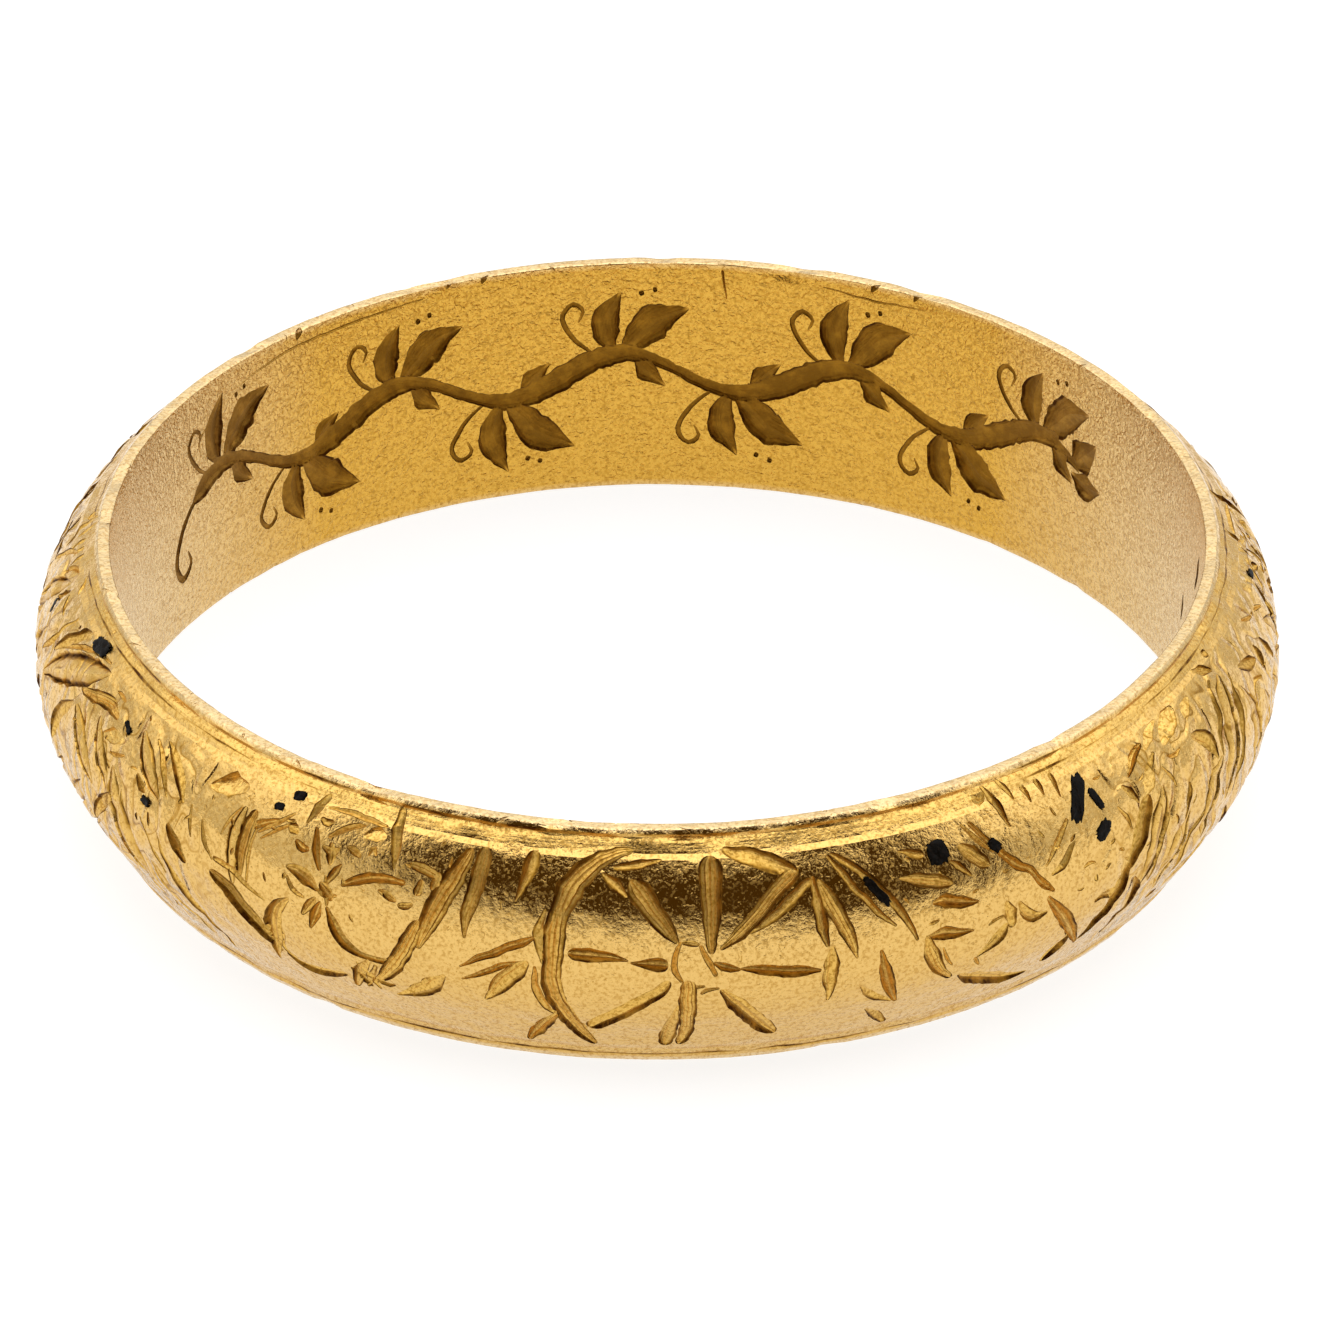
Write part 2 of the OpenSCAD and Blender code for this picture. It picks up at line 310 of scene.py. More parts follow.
lozenge = (
    # frame, from its right side round by the top
    (
        "flute",
        (-21.9, 0.46, 0.16), (-22.9, 0.08, 0.28), (-23.9, -0.3, 0.28),
        (-25.2, -0.68, 0.24), (-27.0, -1.06, 0.06),
    ),
    ("gouge", (-29.0, -0.78, 0.06), (-28.2, -1.0, 0.18), (-27.3, -1.2, 0.06)),
    ("gouge", (-26.7, -0.9, 0.05), (-25.8, -1.02, 0.16), (-24.7, -0.94, 0.05)),
    ("line", (-28.3, -0.6, 0.04), (-27.3, -0.86, 0.12), (-26.5, -1.2, 0.05)),
    ("gouge", (-26.0, 0.84, 0.05), (-25.2, 0.76, 0.15), (-24.3, 0.7, 0.04)),
    ("gouge", (-23.6, 1.36, 0.14), (-22.0, 1.32, 0.16), (-20.4, 1.2, 0.1)),
    ("gouge", (-20.7, 1.3, 0.12), (-21.0, 1.0, 0.16)),
    ("gouge", (-22.2, 1.14, 0.1), (-22.5, 0.88, 0.15)),
    ("gouge", (-24.2, 0.64, 0.08), (-23.4, 0.66, 0.12), (-22.7, 0.72, 0.05)),
    ("line", (-26.3, 0.82, 0.05), (-25.5, 0.78, 0.11), (-24.6, 0.74, 0.05)),
    ("lens", (-30.0, 0.72, 0.05), (-28.4, 0.9, 0.17), (-26.0, 1.02, 0.15), (-23.6, 1.02, 0.08)),
    ("leaf", (-26.0, 2.2, 0.12), (-25.8, 1.8, 0.2), (-25.4, 1.5, 0.16), (-25.1, 1.2, 0.03)),
    ("facet", (-29.0, 1.58, 0.05), (-27.8, 1.68, 0.26), (-26.6, 1.66, 0.06)),
    ("line", (-27.1, 1.34, 0.05), (-27.6, 1.46, 0.08), (-27.9, 1.3, 0.04)),
    ("line", (-32.4, 1.4, 0.05), (-31.2, 1.58, 0.12), (-30.0, 1.7, 0.1), (-29.0, 1.76, 0.03)),
    ("line", (-33.6, 1.84, 0.04), (-31.2, 1.88, 0.1), (-28.8, 1.86, 0.1), (-26.8, 1.82, 0.04)),
    ("gouge", (-32.8, 1.24, 0.06), (-31.7, 1.2, 0.16), (-30.9, 1.28, 0.05)),
    ("gouge", (-30.3, 1.36, 0.05), (-29.4, 1.32, 0.16), (-28.6, 1.24, 0.05)),
    ("leaf", (-33.9, 1.66, 0.05), (-33.1, 1.6, 0.16), (-32.4, 1.66, 0.05)),
    ("leaf", (-34.0, 2.05, 0.1), (-34.6, 1.76, 0.17), (-35.1, 1.48, 0.03)),
    ("line", (-36.6, 1.58, 0.04), (-38.2, 1.32, 0.1), (-39.9, 1.06, 0.04)),
    ("line", (-36.2, 1.46, 0.04), (-37.8, 1.24, 0.08), (-39.4, 1.0, 0.03)),
    ("leaf", (-37.0, 1.36, 0.05), (-36.3, 1.34, 0.2), (-35.6, 1.28, 0.05)),
    ("flute", (-40.8, 1.4, 0.12), (-41.2, 1.0, 0.25), (-41.2, 0.6, 0.22), (-41.0, 0.24, 0.08)),
    ("line", (-40.0, 1.3, 0.04), (-40.25, 0.7, 0.07), (-40.1, 0.14, 0.04)),
    ("line", (-44.4, 0.34, 0.08), (-41.8, 0.28, 0.12), (-39.6, 0.1, 0.08), (-37.9, 0.02, 0.03)),
    (
        "flute",
        (-44.6, 0.1, 0.14), (-42.4, -0.12, 0.36), (-40.2, -0.42, 0.36), (-38.4, -0.76, 0.3),
        (-37.0, -1.04, 0.08),
    ),
    (
        "petal",
        (-35.2, 0.22, 0.05), (-36.6, -0.02, 0.24), (-37.2, -0.36, 0.34), (-37.5, -0.78, 0.28),
        (-38.1, -1.36, 0.03),
    ),
    ("line", (-37.0, -0.16, 0.05), (-36.4, -0.55, 0.12), (-36.6, -0.9, 0.08), (-35.4, -1.1, 0.05)),
    ("petal", (-36.4, -1.02, 0.05), (-34.8, -1.26, 0.25), (-32.4, -1.22, 0.25), (-29.8, -1.03, 0.08)),
    ("petal", (-27.0, -0.5, 0.08), (-28.2, -0.86, 0.24), (-29.3, -1.34, 0.08)),
    ("leaf", (-26.3, -0.56, 0.06), (-27.1, -0.9, 0.14), (-27.8, -1.24, 0.04)),
    # flower in it
    ("leaf", (-31.5, 0.68, 0.05), (-31.0, 0.86, 0.16), (-30.3, 1.06, 0.04)),
    ("gouge", (-32.2, 0.66, 0.08), (-31.4, 0.54, 0.22), (-30.6, 0.44, 0.1)),
    ("line", (-31.7, 0.8, 0.04), (-31.4, 0.56, 0.12), (-31.2, 0.3, 0.04)),
    ("line", (-32.6, 0.56, 0.04), (-31.4, 0.48, 0.12), (-30.2, 0.54, 0.04)),
    ("lens", (-33.9, 1.5, 0.06), (-33.3, 1.16, 0.16), (-32.4, 0.84, 0.06)),
    ("gouge", (-31.9, 1.34, 0.06), (-31.6, 1.14, 0.18), (-31.5, 0.98, 0.06)),
    ("line", (-35.8, 0.6, 0.04), (-34.9, 0.4, 0.1), (-33.6, 0.32, 0.04)),
    (
        "lens",
        (-31.2, 0.3, 0.06), (-30.3, -0.04, 0.22), (-29.2, -0.3, 0.22),
        (-27.4, -0.43, 0.12), (-25.4, -0.43, 0.12), (-24.0, -0.38, 0.05),
    ),
    ("lens", (-31.9, 0.36, 0.05), (-32.4, 0.1, 0.2), (-32.9, -0.2, 0.04)),
    ("gouge", (-36.0, 0.74, 0.05), (-34.8, 0.72, 0.2), (-33.5, 0.64, 0.24), (-32.3, 0.52, 0.06)),
    ("lens", (-35.6, 1.2, 0.06), (-34.8, 1.1, 0.18), (-33.9, 1.12, 0.06)),
    ("gouge", (-32.4, 0.4, 0.05), (-33.1, 0.22, 0.17), (-33.8, 0.02, 0.05)),
)
crossedLozenge = (
    # upper left of the frame
    ("flute", (22.8, 1.14, 0.04), (24.6, 1.05, 0.2), (26.6, 0.93, 0.24), (27.9, 0.86, 0.08)),
    ("leaf", (23.2, 1.56, 0.03), (24.6, 1.48, 0.14), (25.7, 1.4, 0.2)),
    ("leaf", (28.0, 1.22, 0.05), (28.9, 1.08, 0.16), (29.9, 0.9, 0.04)),
    ("flute", (29.4, 1.42, 0.08), (30.4, 1.22, 0.27), (31.9, 0.95, 0.18)),
    ("line", (30.2, 1.72, 0.05), (31.4, 1.4, 0.1), (32.7, 1.14, 0.04)),
    # the stem that crosses it
    (
        "lens",
        (31.0, 1.72, 0.08), (32.6, 1.3, 0.1), (34.4, 0.88, 0.16),
        (36.0, 0.66, 0.12), (37.2, 0.36, 0.14), (38.4, 0.14, 0.05),
    ),
    (
        "lens",
        (37.6, 0.1, 0.06), (38.8, -0.2, 0.2), (40.2, -0.55, 0.25), (41.6, -0.96, 0.2), (43.5, -1.48, 0.06),
    ),
    # notches under the border
    ("leaf", (33.9, 2.2, 0.06), (34.7, 1.85, 0.18), (35.15, 1.42, 0.03)),
    ("gouge", (32.6, 2.08, 0.1), (33.2, 1.98, 0.16), (33.8, 2.1, 0.08)),
    ("leaf", (35.8, 2.2, 0.06), (36.4, 2.0, 0.12), (36.7, 1.8, 0.03)),
    ("leaf", (38.2, 1.98, 0.14), (38.4, 1.66, 0.03)),
    ("leaf", (40.0, 1.98, 0.14), (40.1, 1.68, 0.03)),
    ("leaf", (41.8, 1.98, 0.12), (41.7, 1.55, 0.03)),
    # upper right
    ("line", (37.8, 0.62, 0.04), (39.8, 0.95, 0.12), (41.4, 1.2, 0.06)),
    ("leaf", (38.2, 0.44, 0.05), (39.6, 0.52, 0.15), (40.8, 0.72, 0.1), (41.5, 0.82, 0.03)),
    ("line", (42.0, 0.31, 0.03), (42.8, 0.34, 0.08), (43.6, 0.3, 0.03)),
    # left corner
    ("lens", (25.6, 0.62, 0.05), (27.0, 0.6, 0.23), (28.8, 0.5, 0.2), (30.3, 0.44, 0.03)),
    ("lens", (24.8, 0.06, 0.05), (26.4, 0.06, 0.23), (28.0, 0.0, 0.17), (29.6, -0.05, 0.03)),
    ("flute", (24.9, 0.1, 0.08), (25.4, -0.28, 0.25), (26.2, -0.6, 0.22), (27.8, -0.98, 0.08)),
    ("line", (26.5, -0.2, 0.03), (27.0, -0.45, 0.07), (27.7, -0.66, 0.03)),
    # flower in it
    ("petal", (33.2, -0.1, 0.08), (32.2, -0.34, 0.27), (30.2, -0.62, 0.03)),
    ("petal", (33.0, 0.3, 0.06), (33.5, 0.05, 0.24), (33.9, -0.22, 0.1)),
    ("petal", (34.4, 0.22, 0.05), (35.2, -0.05, 0.2), (36.4, -0.2, 0.17), (37.6, -0.18, 0.05)),
    ("line", (32.8, 0.06, 0.05), (31.8, 0.04, 0.07), (31.1, -0.04, 0.03)),
    ("line", (30.0, -0.6, 0.04), (30.3, -0.72, 0.08), (30.7, -0.84, 0.03)),
    # foot and right side of the frame
    (
        "petal",
        (28.6, -0.95, 0.05), (30.5, -1.2, 0.3), (33.2, -1.47, 0.34), (35.6, -1.72, 0.28), (38.2, -1.8, 0.06),
    ),
    ("flute", (41.4, -1.0, 0.1), (40.6, -1.3, 0.36), (39.6, -1.64, 0.28)),
    (
        "gouge",
        (47.8, 0.0, 0.12), (47.2, -0.4, 0.28), (46.3, -0.78, 0.3), (44.9, -1.06, 0.26), (43.6, -1.4, 0.1),
    ),
    ("gouge", (43.5, -0.46, 0.06), (45.0, -0.4, 0.13), (46.6, -0.55, 0.2)),
)
leftFlower = (
    # far left
    ("line", (-97.0, 0.7, 0.04), (-95.0, 1.1, 0.1), (-92.6, 1.55, 0.12), (-90.0, 1.86, 0.05)),
    ("ridge", (-93.6, 0.3, 0.06), (-91.0, 0.8, 0.36), (-88.4, 1.25, 0.4), (-86.0, 1.66, 0.06)),
    ("ridge", (-90.4, -0.6, 0.06), (-88.0, -0.1, 0.4), (-85.4, 0.45, 0.44), (-83.6, 0.95, 0.08)),
    ("facet", (-89.4, 1.5, 0.06), (-87.2, 1.7, 0.34), (-85.2, 1.8, 0.06)),
    ("gouge", (-86.6, 1.3, 0.05), (-85.2, 1.44, 0.2), (-84.2, 1.66, 0.05)),
    ("line", (-84.4, 2.02, 0.04), (-83.3, 1.92, 0.1), (-82.4, 1.8, 0.04)),
    ("line", (-83.8, 1.62, 0.04), (-83.0, 1.5, 0.1), (-82.2, 1.36, 0.04)),
    ("ridge", (-86.6, -1.4, 0.06), (-84.0, -0.9, 0.42), (-81.6, -0.3, 0.46), (-80.0, 0.3, 0.08)),
    ("line", (-83.0, 0.62, 0.04), (-81.4, 0.9, 0.12), (-80.2, 1.3, 0.12), (-79.0, 1.66, 0.04)),
    # band that leads to the patch under the rim, and the broad leaf beside it
    ("flute", (-80.0, 0.92, 0.06), (-78.2, 1.26, 0.2), (-76.2, 1.6, 0.26), (-74.8, 1.8, 0.1)),
    (
        "ridge",
        (-80.2, 0.45, 0.08), (-77.2, 0.85, 0.46), (-73.6, 1.2, 0.56), (-70.0, 1.5, 0.42),
        (-67.6, 1.72, 0.06),
    ),
    ("line", (-78.0, 1.16, 0.04), (-75.0, 1.5, 0.1), (-71.4, 1.76, 0.1), (-68.6, 1.84, 0.04)),
    ("petal", (-75.6, -0.3, 0.05), (-74.4, 0.1, 0.32), (-72.8, 0.5, 0.3), (-70.6, 0.86, 0.08)),
    ("flute", (-70.4, 1.14, 0.06), (-68.0, 1.25, 0.2), (-65.0, 1.4, 0.24), (-62.4, 1.34, 0.1)),
    ("line", (-65.2, 1.62, 0.04), (-64.0, 1.64, 0.09), (-62.8, 1.62, 0.04)),
    ("ridge", (-70.0, 0.9, 0.06), (-68.0, 0.62, 0.34), (-65.8, 0.3, 0.36), (-63.8, 0.0, 0.06)),
    ("ridge", (-65.4, 1.14, 0.06), (-64.0, 0.84, 0.28), (-62.4, 0.52, 0.3), (-60.8, 0.2, 0.06)),
    ("flute", (-64.6, -0.75, 0.06), (-62.6, -0.3, 0.24), (-60.8, 0.02, 0.2), (-59.4, 0.26, 0.05)),
    ("facet", (-63.6, 0.96, 0.06), (-62.0, 1.06, 0.26), (-60.2, 1.1, 0.06)),
    ("line", (-61.8, 0.78, 0.04), (-60.6, 0.84, 0.09), (-59.3, 0.92, 0.04)),
    # lumpy leaf and the groove at its right
    ("ridge", (-58.2, 1.5, 0.08), (-56.4, 1.2, 0.34), (-54.6, 0.94, 0.34), (-52.8, 0.72, 0.08)),
    ("line", (-56.0, 1.54, 0.04), (-54.2, 1.34, 0.1), (-52.9, 1.1, 0.13), (-51.8, 0.82, 0.04)),
    ("gouge", (-56.6, 0.86, 0.05), (-55.6, 0.7, 0.16), (-54.8, 0.66, 0.04)),
    # big leaf with a brown outline, and its neighbour
    (
        "ridge",
        (-60.6, 0.66, 0.06), (-59.2, 0.16, 0.42), (-57.6, -0.42, 0.5), (-55.8, -1.0, 0.4),
        (-54.0, -1.5, 0.05),
    ),
    ("line", (-58.2, 0.4, 0.05), (-57.3, 0.05, 0.11), (-56.5, -0.35, 0.11), (-55.3, -0.85, 0.05)),
    ("line", (-54.7, 0.26, 0.04), (-53.0, -0.25, 0.11), (-51.5, -0.6, 0.04)),
    ("gouge", (-50.7, 0.46, 0.1), (-49.4, 0.2, 0.26), (-47.9, -0.04, 0.1)),
    ("flute", (-49.4, 0.9, 0.05), (-50.6, 1.16, 0.2), (-52.4, 1.42, 0.2), (-54.6, 1.62, 0.04)),
    ("line", (-48.3, 0.98, 0.04), (-47.9, 0.7, 0.09), (-47.5, 0.46, 0.03)),
    ("line", (-46.4, 0.86, 0.03), (-45.7, 0.52, 0.1), (-44.4, 0.28, 0.03)),
    ("facet", (-47.0, 1.4, 0.08), (-44.8, 1.56, 0.4), (-42.6, 1.64, 0.1)),
    ("ridge", (-42.0, 1.36, 0.08), (-42.3, 0.9, 0.26), (-42.1, 0.45, 0.22), (-41.8, 0.05, 0.06)),
    ("line", (-43.9, 0.76, 0.03), (-43.4, 1.05, 0.07), (-42.5, 1.32, 0.03)),
    ("lens", (-41.7, 0.98, 0.04), (-39.9, 1.2, 0.13), (-38.0, 1.4, 0.04)),
    # lower half
    (
        "leaf",
        (-52.4, 0.2, 0.04), (-51.0, -0.3, 0.17), (-49.0, -0.76, 0.2), (-46.4, -1.5, 0.16),
        (-45.6, -1.9, 0.04),
    ),
    ("ridge", (-53.6, -0.5, 0.05), (-52.0, -1.0, 0.34), (-50.2, -1.5, 0.3), (-48.6, -1.86, 0.06)),
    ("line", (-62.8, -0.6, 0.04), (-66.0, -1.0, 0.13), (-70.4, -1.5, 0.13), (-75.4, -1.96, 0.06)),
    ("ridge", (-66.4, -0.2, 0.08), (-68.4, -0.6, 0.38), (-71.2, -1.0, 0.42), (-74.4, -1.42, 0.1)),
    ("ridge", (-62.4, -0.86, 0.06), (-62.0, -1.3, 0.36), (-61.0, -1.84, 0.22)),
    ("flute", (-72.4, -0.36, 0.06), (-75.0, -0.8, 0.24), (-78.4, -1.24, 0.26), (-81.0, -1.6, 0.06)),
    ("petal", (-66.8, -1.4, 0.06), (-68.6, -1.68, 0.28), (-70.4, -1.94, 0.12)),
)
rightFlower = (
    # dark gouge beside the frame, and the light body at its right
    (
        "gouge",
        (51.9, 0.88, 0.16), (50.9, 0.62, 0.32), (49.7, 0.32, 0.36), (48.6, 0.06, 0.26), (47.9, -0.16, 0.12),
    ),
    ("ridge", (54.0, 0.86, 0.1), (52.9, 0.36, 0.38), (51.4, -0.16, 0.36), (49.9, -0.7, 0.06)),
    ("line", (54.1, 0.3, 0.04), (52.5, -0.26, 0.1), (51.2, -0.7, 0.04)),
    ("facet", (51.5, 0.9, 0.06), (52.5, 1.06, 0.28), (53.7, 1.24, 0.08)),
    ("lens", (58.0, 0.6, 0.05), (57.5, 0.35, 0.2), (56.4, 0.04, 0.06)),
    ("line", (60.0, -0.1, 0.05), (57.9, -0.42, 0.13), (57.0, -0.78, 0.13), (56.3, -1.16, 0.05)),
    ("ridge", (57.6, 0.1, 0.06), (56.0, -0.26, 0.34), (54.6, -0.7, 0.36), (53.6, -1.2, 0.06)),
    # light facets and a fine network under the border
    ("facet", (56.4, 1.4, 0.1), (58.4, 1.62, 0.38), (60.3, 1.78, 0.1)),
    ("facet", (60.8, 1.44, 0.05), (61.8, 1.58, 0.26), (63.2, 1.72, 0.05)),
    ("facet", (53.6, 1.52, 0.06), (55.2, 1.68, 0.2), (57.0, 1.8, 0.05)),
    ("lens", (50.2, 1.3, 0.05), (51.8, 1.52, 0.18), (53.6, 1.64, 0.06)),
    ("leaf", (51.6, 1.06, 0.05), (53.0, 1.22, 0.18), (54.6, 1.4, 0.05)),
    ("line", (56.0, 1.22, 0.04), (57.2, 1.12, 0.1), (58.4, 1.16, 0.04)),
    ("line", (54.8, 1.12, 0.03), (55.6, 0.9, 0.08), (56.0, 0.66, 0.03)),
    ("gouge", (48.8, 1.24, 0.05), (49.8, 1.06, 0.16), (50.4, 0.84, 0.05)),
    ("line", (47.6, 0.98, 0.04), (48.4, 0.74, 0.09), (48.7, 0.5, 0.03)),
    # leaf with a brown triangle, and the long body between two dark outlines
    ("petal", (60.3, 1.2, 0.08), (61.8, 1.05, 0.26), (63.0, 0.84, 0.28), (63.4, 0.52, 0.04)),
    (
        "line",
        (67.6, 1.6, 0.05), (66.3, 1.35, 0.14), (65.8, 1.05, 0.15), (64.8, 0.72, 0.1), (64.4, 0.46, 0.03),
    ),
    (
        "ridge",
        (69.2, 1.56, 0.08), (68.1, 1.15, 0.38), (67.2, 0.6, 0.46), (66.2, 0.1, 0.36), (64.6, -0.36, 0.06),
    ),
    (
        "line",
        (71.0, 1.4, 0.04), (70.2, 1.0, 0.13), (69.4, 0.45, 0.15), (68.2, 0.0, 0.13), (66.4, -0.4, 0.04),
    ),
    ("ridge", (64.2, 0.5, 0.05), (62.2, 0.2, 0.34), (60.8, -0.2, 0.34), (60.0, -0.7, 0.05)),
    ("leaf", (69.4, 1.92, 0.12), (70.4, 1.9, 0.16)),
    ("gouge", (66.2, 1.92, 0.05), (67.6, 1.8, 0.18), (69.0, 1.66, 0.06)),
    ("leaf", (73.4, 1.28, 0.05), (75.4, 1.1, 0.26), (77.3, 1.0, 0.06)),
    ("line", (74.0, 0.56, 0.04), (75.2, 0.8, 0.11), (76.8, 0.72, 0.04)),
    ("gouge", (78.1, 1.18, 0.05), (78.6, 0.9, 0.18), (79.1, 0.56, 0.04)),
    ("gouge", (80.3, 1.1, 0.06), (81.2, 0.8, 0.17), (82.7, 0.42, 0.05)),
    ("line", (81.8, 1.38, 0.04), (80.6, 1.47, 0.1), (79.4, 1.58, 0.04)),
    ("line", (85.6, 1.18, 0.04), (84.4, 1.28, 0.1), (83.0, 1.36, 0.04)),
    ("ridge", (71.6, 1.06, 0.06), (73.0, 0.5, 0.34), (73.4, -0.1, 0.4), (73.0, -0.7, 0.08)),
    ("ridge", (76.4, 0.5, 0.06), (77.4, 0.0, 0.38), (77.8, -0.6, 0.42), (77.2, -1.2, 0.08)),
    ("ridge", (81.2, 0.3, 0.06), (82.6, -0.2, 0.36), (83.2, -0.8, 0.4), (82.8, -1.4, 0.08)),
    ("ridge", (84.6, 1.0, 0.06), (86.6, 0.7, 0.36), (88.8, 0.3, 0.4), (90.6, -0.2, 0.06)),
    ("facet", (85.4, 1.5, 0.05), (88.4, 1.64, 0.28), (92.0, 1.66, 0.28), (95.6, 1.54, 0.05)),
    # lower half
    ("leaf", (49.2, -0.42, 0.04), (49.9, -0.8, 0.2), (49.6, -1.3, 0.2), (48.4, -1.84, 0.06)),
    ("petal", (53.6, -1.3, 0.06), (54.8, -1.5, 0.28), (55.8, -1.8, 0.08)),
    ("ridge", (62.8, -0.5, 0.05), (62.0, -0.9, 0.34), (60.6, -1.3, 0.36), (59.0, -1.7, 0.06)),
    ("flute", (66.0, -0.66, 0.08), (66.4, -1.1, 0.28), (66.6, -1.54, 0.3), (66.2, -1.96, 0.2)),
    ("ridge", (70.0, -0.5, 0.08), (71.6, -0.96, 0.36), (73.4, -1.4, 0.36), (74.8, -1.8, 0.1)),
    ("line", (77.0, -1.4, 0.05), (79.4, -1.6, 0.12), (82.0, -1.86, 0.06)),
)
# Chart, its middle in degrees, how far it is turned round the ring, its stretch and its side.
chartPlaces = (
    (rosette, 3.3, 0, 1, 1),
    (lozenge, -32.4, 0, 1, 1),
    (crossedLozenge, 36.4, 0, 1, 1),
    (leftFlower, -64, 0, 1, 1),
    (rightFlower, 66, 0, 1, 1),
    (lozenge, -32.4, 127.4, 0.86, 1),
    (rosette, 3.3, 120.3, 0.88, -1),
    (crossedLozenge, 36.4, 115.8, 0.86, 1),
    (rosette, 3.3, 177.5, 0.88, 1),
    (lozenge, -32.4, 241.8, 0.86, 1),
    (rosette, 3.3, 234.6, 0.88, -1),
    (crossedLozenge, 36.4, 230, 0.86, 1),
)

# Border lines all round: mm up the section, depth. The thinnest ones lie under the rims.
borderLines = (
    (-2.42, 0.0), (-2.37, 0.03), (-2.29, 0.022), (-2.21, 0.034), (-2.13, 0.02), (-2.05, 0.0),
    (1.83, 0.0), (1.94, 0.04), (2.0, 0.04), (2.06, 0.05),
    (2.11, 0.05), (2.15, 0.062), (2.2, 0.07), (2.24, 0.0),
)
borderFloors = ((1.97, 2.2), (-2.36, -2.1))
# lines of tarnish and painted shade in them: mm up the section, half width, and the share that is left at the
# front
borderDirtAndShade = ((2.225, 0.034, 1), (2.06, 0.045, 0.4), (-2.37, 0.035, 1))


def smoothLine(marks, count=10):
    # a Catmull-Rom curve through the marks, with their widths
    marks = np.array(marks, float)
    if len(marks) == 2:
        t = np.linspace(0, 1, count)[:, None]
        return marks[0] + (marks[1] - marks[0]) * t
    ends = np.vstack((2 * marks[0] - marks[1], marks, 2 * marks[-1] - marks[-2]))
    rows = []
    for a, b, c, d in zip(ends[:-3], ends[1:-2], ends[2:-1], ends[3:]):
        for t in np.arange(count) / count:
            square, cube = 2 * a - 5 * b + 4 * c - d, 3 * b - a - 3 * c + d
            spot = 0.5 * (2 * b + (c - a) * t + square * t**2 + cube * t**3)
            spot[2] = b[2] + (c[2] - b[2]) * t
            rows.append(spot)
    rows.append(marks[-1])
    return np.array(rows)


def makeCut(kind, marks, step=graver["step"]):
    # marks are x mm round the crown, s mm round the section and the full width in mm
    curve = smoothLine(marks)
    along = np.concatenate(([0], np.cumsum(np.hypot(*np.diff(curve[:, :2], axis=0).T))))
    length = along[-1]
    caps = [min(0.6 * width, 0.3 * length) + 1e-4 for width in (curve[0, 2], curve[-1, 2])]
    near = [0.0, 0.06, 0.25, 0.6]  # places in the rounded ends
    middle = np.linspace(caps[0], length - caps[1], max(4, int((length - sum(caps)) / step)))
    d = np.concatenate(([k * caps[0] for k in near], middle, [length - k * caps[1] for k in near[::-1]]))
    line = np.stack([np.interp(d, along, curve[:, k]) for k in (0, 1)], axis=1)
    width = np.interp(d, along, curve[:, 2])
    rounded = np.ones(len(d))
    for cap, away in ((caps[0], d), (caps[1], length - d)):
        rounded *= np.sqrt(np.maximum(0, 1 - (1 - np.minimum(away / cap, 1)) ** 2))
    rough = np.array([1 + graver["roughEdge"] * noise.noise(Vector((8 * x, 8 * s, 2))) for x, s in line])
    line += [[graver["stray"] * noise.noise(Vector((4 * x, 4 * s, k))) for k in (5, 8)] for x, s in line]
    return {
        "line": line,
        "d": d,
        "half": width / 2 * rounded * rough,
        "depth": np.minimum(width * cutKinds[kind]["slope"], graver["deepest"]) * rounded,
        "across": cutKinds[kind]["across"],
        "tarnish": cutKinds[kind].get("tarnish", 1),
        "ridge": kind == "ridge",
    }


def cutLines(cut):
    # points and edges of the lines that run along a cut, from tip to tip
    step = np.gradient(cut["line"], axis=0)
    left = np.stack((-step[:, 1], step[:, 0]), axis=1) / np.hypot(step[:, 0], step[:, 1])[:, None]
    count = len(cut["d"])
    points = [cut["line"][0], cut["line"][-1]]
    edges = []
    for q, share in cut["across"]:
        first = len(points)
        points.extend(cut["line"][1:-1] + left[1:-1] * (q * cut["half"][1:-1])[:, None])
        chain = [0] + list(range(first, first + count - 2)) + [1]
        edges.extend(zip(chain[:-1], chain[1:]))
    return np.array(points), edges


def inCut(cut, points):
    # mm along, place across from -1 to 1, mm across and mm from the line, of points near a cut
    a = cut["line"][:-1]
    b = cut["line"][1:]
    ab = b - a
    rel = points[:, None, :] - a[None]
    u = np.clip((rel * ab).sum(-1) / np.maximum((ab**2).sum(-1), 1e-12), 0, 1)
    off = rel - ab * u[..., None]
    near = np.argmin((off**2).sum(-1), axis=1)
    pick = np.arange(len(points))
    u = u[pick, near]
    off = off[pick, near]
    way = ab[near]
    side = (way[:, 0] * off[:, 1] - way[:, 1] * off[:, 0]) / np.hypot(way[:, 0], way[:, 1])
    d = cut["d"][near] + (cut["d"][near + 1] - cut["d"][near]) * u
    half = np.interp(d, cut["d"], cut["half"])
    return d, side / np.maximum(half, 1e-6), side, np.hypot(off[:, 0], off[:, 1])


def cutDepths(cuts, points, reach=0.0):
    # depth in mm at each point, and which cut it belongs to, or -1
    depth = np.zeros(len(points))
    owner = np.full(len(points), -1)
    for i, cut in enumerate(cuts):
        grow = cut["half"].max() + reach
        low = cut["line"].min(axis=0) - grow
        high = cut["line"].max(axis=0) + grow
        near = np.nonzero(((points >= low) & (points <= high)).all(axis=1))[0]
        if not len(near):
            continue
        d, q, side, away = inCut(cut, points[near])
        half = np.interp(d, cut["d"], cut["half"])
        full = np.interp(d, cut["d"], cut["depth"])
        share = np.interp(q, [k for k, v in cut["across"]], [v for k, v in cut["across"]])
        inside = (np.abs(q) < 1.0001) & (away < half + 1e-4)
        here = np.where(inside, full * share, 0)
        if reach:
            inside = away < half + reach
        better = inside & (here >= depth[near])
        depth[near[better]] = here[better]
        owner[near[better]] = i
    return depth, owner


